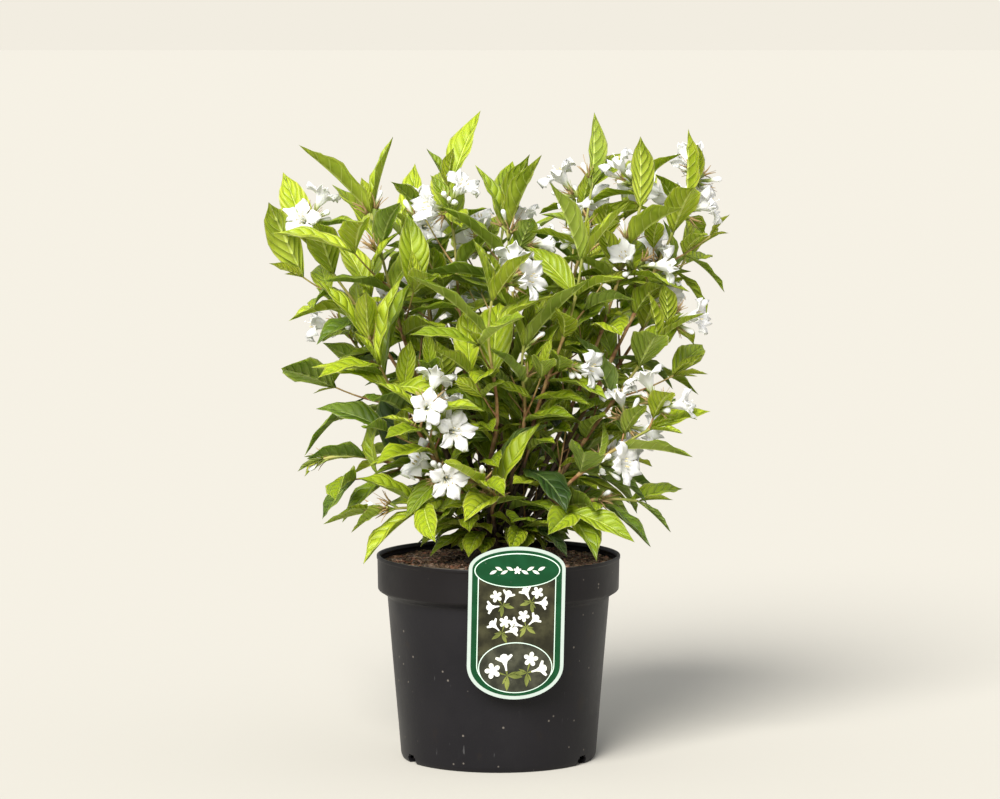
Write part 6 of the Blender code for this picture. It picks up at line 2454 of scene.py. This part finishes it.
# %% Calyx, stamens and style
PETAL, CALYX, ANTHER = 0, 1, 2
OVARY = ((0.0, 0.0007), (0.003, 0.0009), (0.0062, 0.0012), (0.0075, 0.0009))
SEPAL_FOOT = 0.0062
SEPAL_LENGTH = 0.0075
SEPAL_RADIUS = 0.0011
SEPAL_SPREAD = 0.0042
SEPAL_CURVE = 1.6
SEPAL_HALF = (0.0007, 0.00012)
SEPAL_THICKNESS = 0.00025
SEPAL_ROWS = 3
GREEN_REACH = 0.3
BROWN_REACH = 0.9
BEAD_ROWS = ((-0.5, 0.15), (-0.25, 0.8), (0.2, 1.0), (0.5, 0.15))


def along_x(distance):
    """A point of the bloom's own axis."""
    return Vector((distance, 0, 0))


def between_lobes(i):
    """The outward and sideways directions between two lobes."""
    angle = 2 * math.pi * (i + 0.5) / LOBES
    return Vector((0, math.cos(angle), math.sin(angle))), Vector((0, -math.sin(angle), math.cos(angle)))


def rod(first, last, radius, end_radius, sides):
    """A thin straight part as a closed tube."""
    return loft([first, first.lerp(last, 0.5), last], [radius, (radius + end_radius) / 2, end_radius], sides)


def knob(centre, length, radius):
    """A small elongated closed bead, such as an anther."""
    points = [centre + along_x(length * share) for share, _ in BEAD_ROWS]
    return loft(points, [radius * swell for _, swell in BEAD_ROWS], 5)


def add_part(shape, part, slot, reach):
    """Adds points and faces with one reach value all over."""
    verts, faces = part
    shape.add(verts, faces, slot, [reach] * len(verts))


def add_calyx(shape, spread, sepal_reach=GREEN_REACH):
    """The thin ovary and its five narrow sepals."""
    ovary = loft([along_x(x) for x, _ in OVARY], [radius for _, radius in OVARY], 6)
    add_part(shape, ovary, CALYX, 0.0)
    for i in range(LOBES):
        out, side = between_lobes(i)
        sheet, cells = [], []
        for row in range(SEPAL_ROWS + 1):
            t = row / SEPAL_ROWS
            middle = along_x(SEPAL_FOOT + SEPAL_LENGTH * t)
            middle += out * (SEPAL_RADIUS + spread * SEPAL_SPREAD * t**SEPAL_CURVE)
            half = SEPAL_HALF[0] * (1 - t) + SEPAL_HALF[1]
            sheet += [middle - side * half, middle + side * half]
            if row:
                a = 2 * row
                cells.append((a - 2, a - 1, a + 1, a))
        add_part(shape, thicken(sheet, cells, SEPAL_THICKNESS), CALYX, sepal_reach)


print("a calyx has", LOBES, "sepals")

# %% Whole blooms, buds and spent calyxes
PETAL_THICKNESS = 0.00028
STAMEN_FOOT = 0.012
STAMEN_TOP = 0.0225
STAMEN_JITTER = (-0.001, 0.0015)
STAMEN_OUT = (0.0012, 0.0030)
STAMEN_RADII = (0.00022, 0.00018)
ANTHER_SIZE = (0.0032, 0.00055)
STYLE_FOOT = 0.010
STYLE_RADII = (0.00026, 0.00022)
STIGMA_SIZE = (0.0014, 0.0008)
STYLE_TIP = Vector((0.0285, 0.0006, 0.0004))
SPENT_STYLE_FOOT = 0.007
SPENT_STYLE_TIP = Vector((0.019, 0.001, 0.001))
SPENT_STYLE_RADII = (0.00022, 0.00016)
# How far the sepals stand off on a bloom, on a bud and when the bloom is spent
BLOOM_SPREAD, BUD_SPREAD, SPENT_SPREAD = 0.6, 0.35, 1.0
BUD_FOOT = 0.0065
BUD_SIDES = 8
BUD_REACH = (0.10, 0.62)
# A bud's radius by its share of the length
CLUB = ((0.0, 0.0009), (0.25, 0.0011), (0.50, 0.0016), (0.70, 0.0023), (0.85, 0.0025), (0.95, 0.0017),
        (1.0, 0.0004))


def bloom_template(name, open_share, ruffle, seed):
    """A whole bloom: calyx, corolla, stamens and style."""
    shape = Shape()
    verts, faces, reach = corolla(open_share, ruffle, seed)
    verts, faces = thicken(verts, faces, PETAL_THICKNESS)
    shape.add(verts, faces, PETAL, reach + reach)
    add_calyx(shape, BLOOM_SPREAD)
    draw = random.Random(seed)
    for i in range(LOBES):
        out, _ = between_lobes(i)
        foot = along_x(STAMEN_FOOT) + out * STAMEN_OUT[0]
        top = along_x(STAMEN_TOP + draw.uniform(*STAMEN_JITTER)) + out * STAMEN_OUT[1]
        add_part(shape, rod(foot, top, *STAMEN_RADII, 3), PETAL, 0.7)
        add_part(shape, knob(top, *ANTHER_SIZE), ANTHER, 0.5)
    add_part(shape, rod(along_x(STYLE_FOOT), STYLE_TIP, *STYLE_RADII, 4), PETAL, 0.8)
    add_part(shape, knob(STYLE_TIP, *STIGMA_SIZE), PETAL, 0.8)
    return shape.mesh(name, BLOOM_FINISHES)


def bud_template(name, length):
    """A closed bud: the calyx and a club-shaped corolla."""
    shape = Shape()
    points = [along_x(BUD_FOOT + length * share) for share, _ in CLUB]
    verts, faces = loft(points, [radius for _, radius in CLUB], BUD_SIDES)
    reach = [BUD_REACH[0] + BUD_REACH[1] * CLUB[i // BUD_SIDES][0] for i in range(len(verts))]
    shape.add(verts, faces, PETAL, reach)
    add_calyx(shape, BUD_SPREAD)
    return shape.mesh(name, BLOOM_FINISHES)


def spent_template(name):
    """What is left when the corolla has dropped: the ovary, its sepals and the bare style."""
    shape = Shape()
    add_calyx(shape, SPENT_SPREAD, BROWN_REACH)
    style = rod(along_x(SPENT_STYLE_FOOT), SPENT_STYLE_TIP, *SPENT_STYLE_RADII, 3)
    add_part(shape, style, CALYX, BROWN_REACH)
    return shape.mesh(name, BLOOM_FINISHES)


print("templates for whole blooms, buds and spent calyxes")

# %% [markdown]
# ## The blooms' colours
# White petals are not one white: they take a faint lilac grey in patches, let light through, and turn
# greenish yellow where the tube narrows. Sepals are green while the bloom lasts and brown once it has
# dropped. An image would have to be unwrapped over each part. Instead, every point carries its reach
# along the bloom, and the finish turns that number into a colour.

# %% The finish of the blooms
PETAL_WHITES = ((0.90, 0.90, 0.88, 1), (0.80, 0.79, 0.81, 1))
TUBE_GREEN = (0.46, 0.53, 0.17, 1)
SEPAL_GREENS = ((0.19, 0.25, 0.045, 1), (0.34, 0.38, 0.085, 1))
SPENT_BROWN = (0.40, 0.27, 0.12, 1)
POLLEN = ((0.72, 0.66, 0.40, 1), (0.55, 0.46, 0.22, 1))


def petal_finish():
    """Thin white petals with a faint lilac-grey shade, greenish yellow where the tube narrows."""
    made, tree, shader = finish("petal", Specular_IOR_Level=0.25, Subsurface_Weight=0.5,
                                Subsurface_Scale=0.002, Subsurface_Radius=(1.0, 1.0, 0.9))
    white, mask = use(tree, MOTTLE, First=PETAL_WHITES[0], Second=PETAL_WHITES[1],
                      Scale=150.0, Low=0.45, High=0.80).outputs
    colour = blend(tree, soft_step(tree, carried(tree, "reach"), 0.50, 0.24), white, TUBE_GREEN)
    wear(tree, shader, colour, scaled(tree, mask, 0.1, 0.55), 800.0, 0.0002)
    return made


def calyx_finish():
    """Green-yellow sepals; the spent ones are brown."""
    made, tree, shader = finish("calyx", Specular_IOR_Level=0.3)
    green, mask = use(tree, MOTTLE, First=SEPAL_GREENS[0], Second=SEPAL_GREENS[1],
                      Scale=220.0, Low=0.4, High=0.6).outputs
    colour = blend(tree, soft_step(tree, carried(tree, "reach"), 0.5, 0.9), green, SPENT_BROWN)
    wear(tree, shader, colour, scaled(tree, mask, 0.1, 0.55))
    return made


def anther_finish():
    """Pale pollen."""
    made, tree, shader = finish("anther", Specular_IOR_Level=0.2)
    colour, mask = use(tree, MOTTLE, First=POLLEN[0], Second=POLLEN[1],
                       Scale=900.0, Low=0.4, High=0.6).outputs
    wear(tree, shader, colour, scaled(tree, mask, 0.1, 0.75))
    return made


BLOOM_FINISHES = (petal_finish(), calyx_finish(), anther_finish())
KINDS = bpy.data.collections.new("bloom_kinds")
BLOOM_SHAPES = [
    bloom_template("a_full", 1.0, 1.0, 1),
    bloom_template("b_ruffled", 0.92, 2.2, 2),
    bloom_template("c_wide", 0.80, 1.4, 3),
    bloom_template("d_half", 0.50, 1.0, 4),
    bud_template("e_bud", 0.0190),
    bud_template("f_small_bud", 0.0125),
    spent_template("g_spent"),
]
FULL_KINDS = (0, 1, 2, 3)
BUD_KINDS = (4, 5)
SPENT = 6
for shape in BLOOM_SHAPES:
    KINDS.objects.link(bpy.data.objects.new(shape.name, shape))
print("bloom kinds:", [shape.name for shape in BLOOM_SHAPES])

# %% The tree that sets the blooms
def make_bloom_tree():
    """Copies a kind of bloom to each point, turned to face along the point's own axis."""
    tree, start, end = nodes_tree("set_blooms", [("Kinds", "NodeSocketCollection")])
    kinds = add(tree, "GeometryNodeCollectionInfo", {0: start.outputs["Kinds"], 1: True, 2: True})
    turn = add(tree, "FunctionNodeAxesToRotation", {
        0: named(tree, "along", VECTOR_KIND), 1: named(tree, "side", VECTOR_KIND)},
        primary_axis="X", secondary_axis="Y")
    copies = add(tree, "GeometryNodeInstanceOnPoints", {
        "Points": start.outputs["Geometry"], "Instance": kinds.outputs[0], "Pick Instance": True,
        "Instance Index": named(tree, "kind", "INT"), "Rotation": turn.outputs[0],
        "Scale": named(tree, "size")})
    real = add(tree, "GeometryNodeRealizeInstances", {0: copies.outputs[0]})
    connect(tree, real.outputs[0], end.inputs[0])
    return tree


def bloom_points(rows):
    """One point for each bloom: its place, its axis, a side, a size and a kind."""
    mesh = bpy.data.meshes.new("bloom_points")
    roots, aims, sides, sizes, kinds = zip(*rows)
    mesh.from_pydata([tuple(root) for root in roots], [], [])
    attribute(mesh, "along", VECTOR_KIND, [tuple(aim) for aim in aims])
    attribute(mesh, "side", VECTOR_KIND, [tuple(side) for side in sides])
    attribute(mesh, "size", NUMBER_KIND, sizes)
    attribute(mesh, "kind", "INT", kinds)
    return mesh


BLOOM_TREE = make_bloom_tree()
print("the bloom tree has", len(BLOOM_TREE.nodes), "nodes")

# %% The blooms, with buds and spent calyxes beside them
FULL_WEIGHTS = (3, 3, 2, 1)
BLOOM_SWELL = 1.06
BESIDE = 5
BESIDE_AHEAD = 0.8
BESIDE_OUT = (0.5, 1.2)
BESIDE_KINDS = BUD_KINDS + (SPENT, SPENT)
SPENT_SIZES = (0.85, 1.25)
BUD_SIZES = (0.65, 1.0)
SPENT_CHANCE = 0.5
SPENT_STEP = 0.002
SPENT_ANGLES = (16, 44)
OLD_SPENT_SIZES = (1.1, 1.5)
LONE_BUD_SIZE = 0.8
bloom_rows = []


def add_bloom(root, aim, size, kind):
    """Notes a bud or a spent calyx that faces along its aim."""
    bloom_rows.append((root, aim, aim.orthogonal().normalized(), size, kind))


draw = random.Random("bloom kinds")
for kind, bloom, _, axis, _ in crown.grown:
    if kind == "bloom":
        choice = draw.choices(FULL_KINDS, FULL_WEIGHTS)[0]
        swell = BLOOM_SWELL * bloom.length / BLOOM_LENGTH
        bloom_rows.append((bloom.root, bloom.along, bloom.side, swell, choice))
        other = bloom.along.cross(bloom.side)
        for i in range(BESIDE):
            turn = draw.uniform(0, FULL_TURN)
            aside = bloom.side * math.cos(turn) + other * math.sin(turn)
            aim = (bloom.along * BESIDE_AHEAD + aside * draw.uniform(*BESIDE_OUT)).normalized()
            small = draw.choice(BESIDE_KINDS)
            add_bloom(bloom.root, aim, draw.uniform(*(SPENT_SIZES if small == SPENT else BUD_SIZES)), small)
for axis in axes:
    for k in (0, 1):
        draw = random.Random(f"{axis.stem.name} spent {k}")
        if k in axis.stem.blooms or draw.random() > SPENT_CHANCE:
            continue
        distance = axis.nodes()[k]
        for i in range(draw.randint(3, 5)):
            aim = fork(axis.tangent(distance), draw.uniform(0, 360), draw.uniform(*SPENT_ANGLES))
            size = draw.uniform(*OLD_SPENT_SIZES) if i else LONE_BUD_SIZE
            add_bloom(axis.at(distance - SPENT_STEP * i), aim, size, SPENT if i else BUD_KINDS[0])
blooms = run_tree("blooms", bloom_points(bloom_rows), BLOOM_TREE, {"Kinds": KINDS})
for item in list(KINDS.objects):
    bpy.data.objects.remove(item, do_unlink=True)
bpy.data.collections.remove(KINDS)
hand_over(blooms, "foliage", *FOLIAGE)
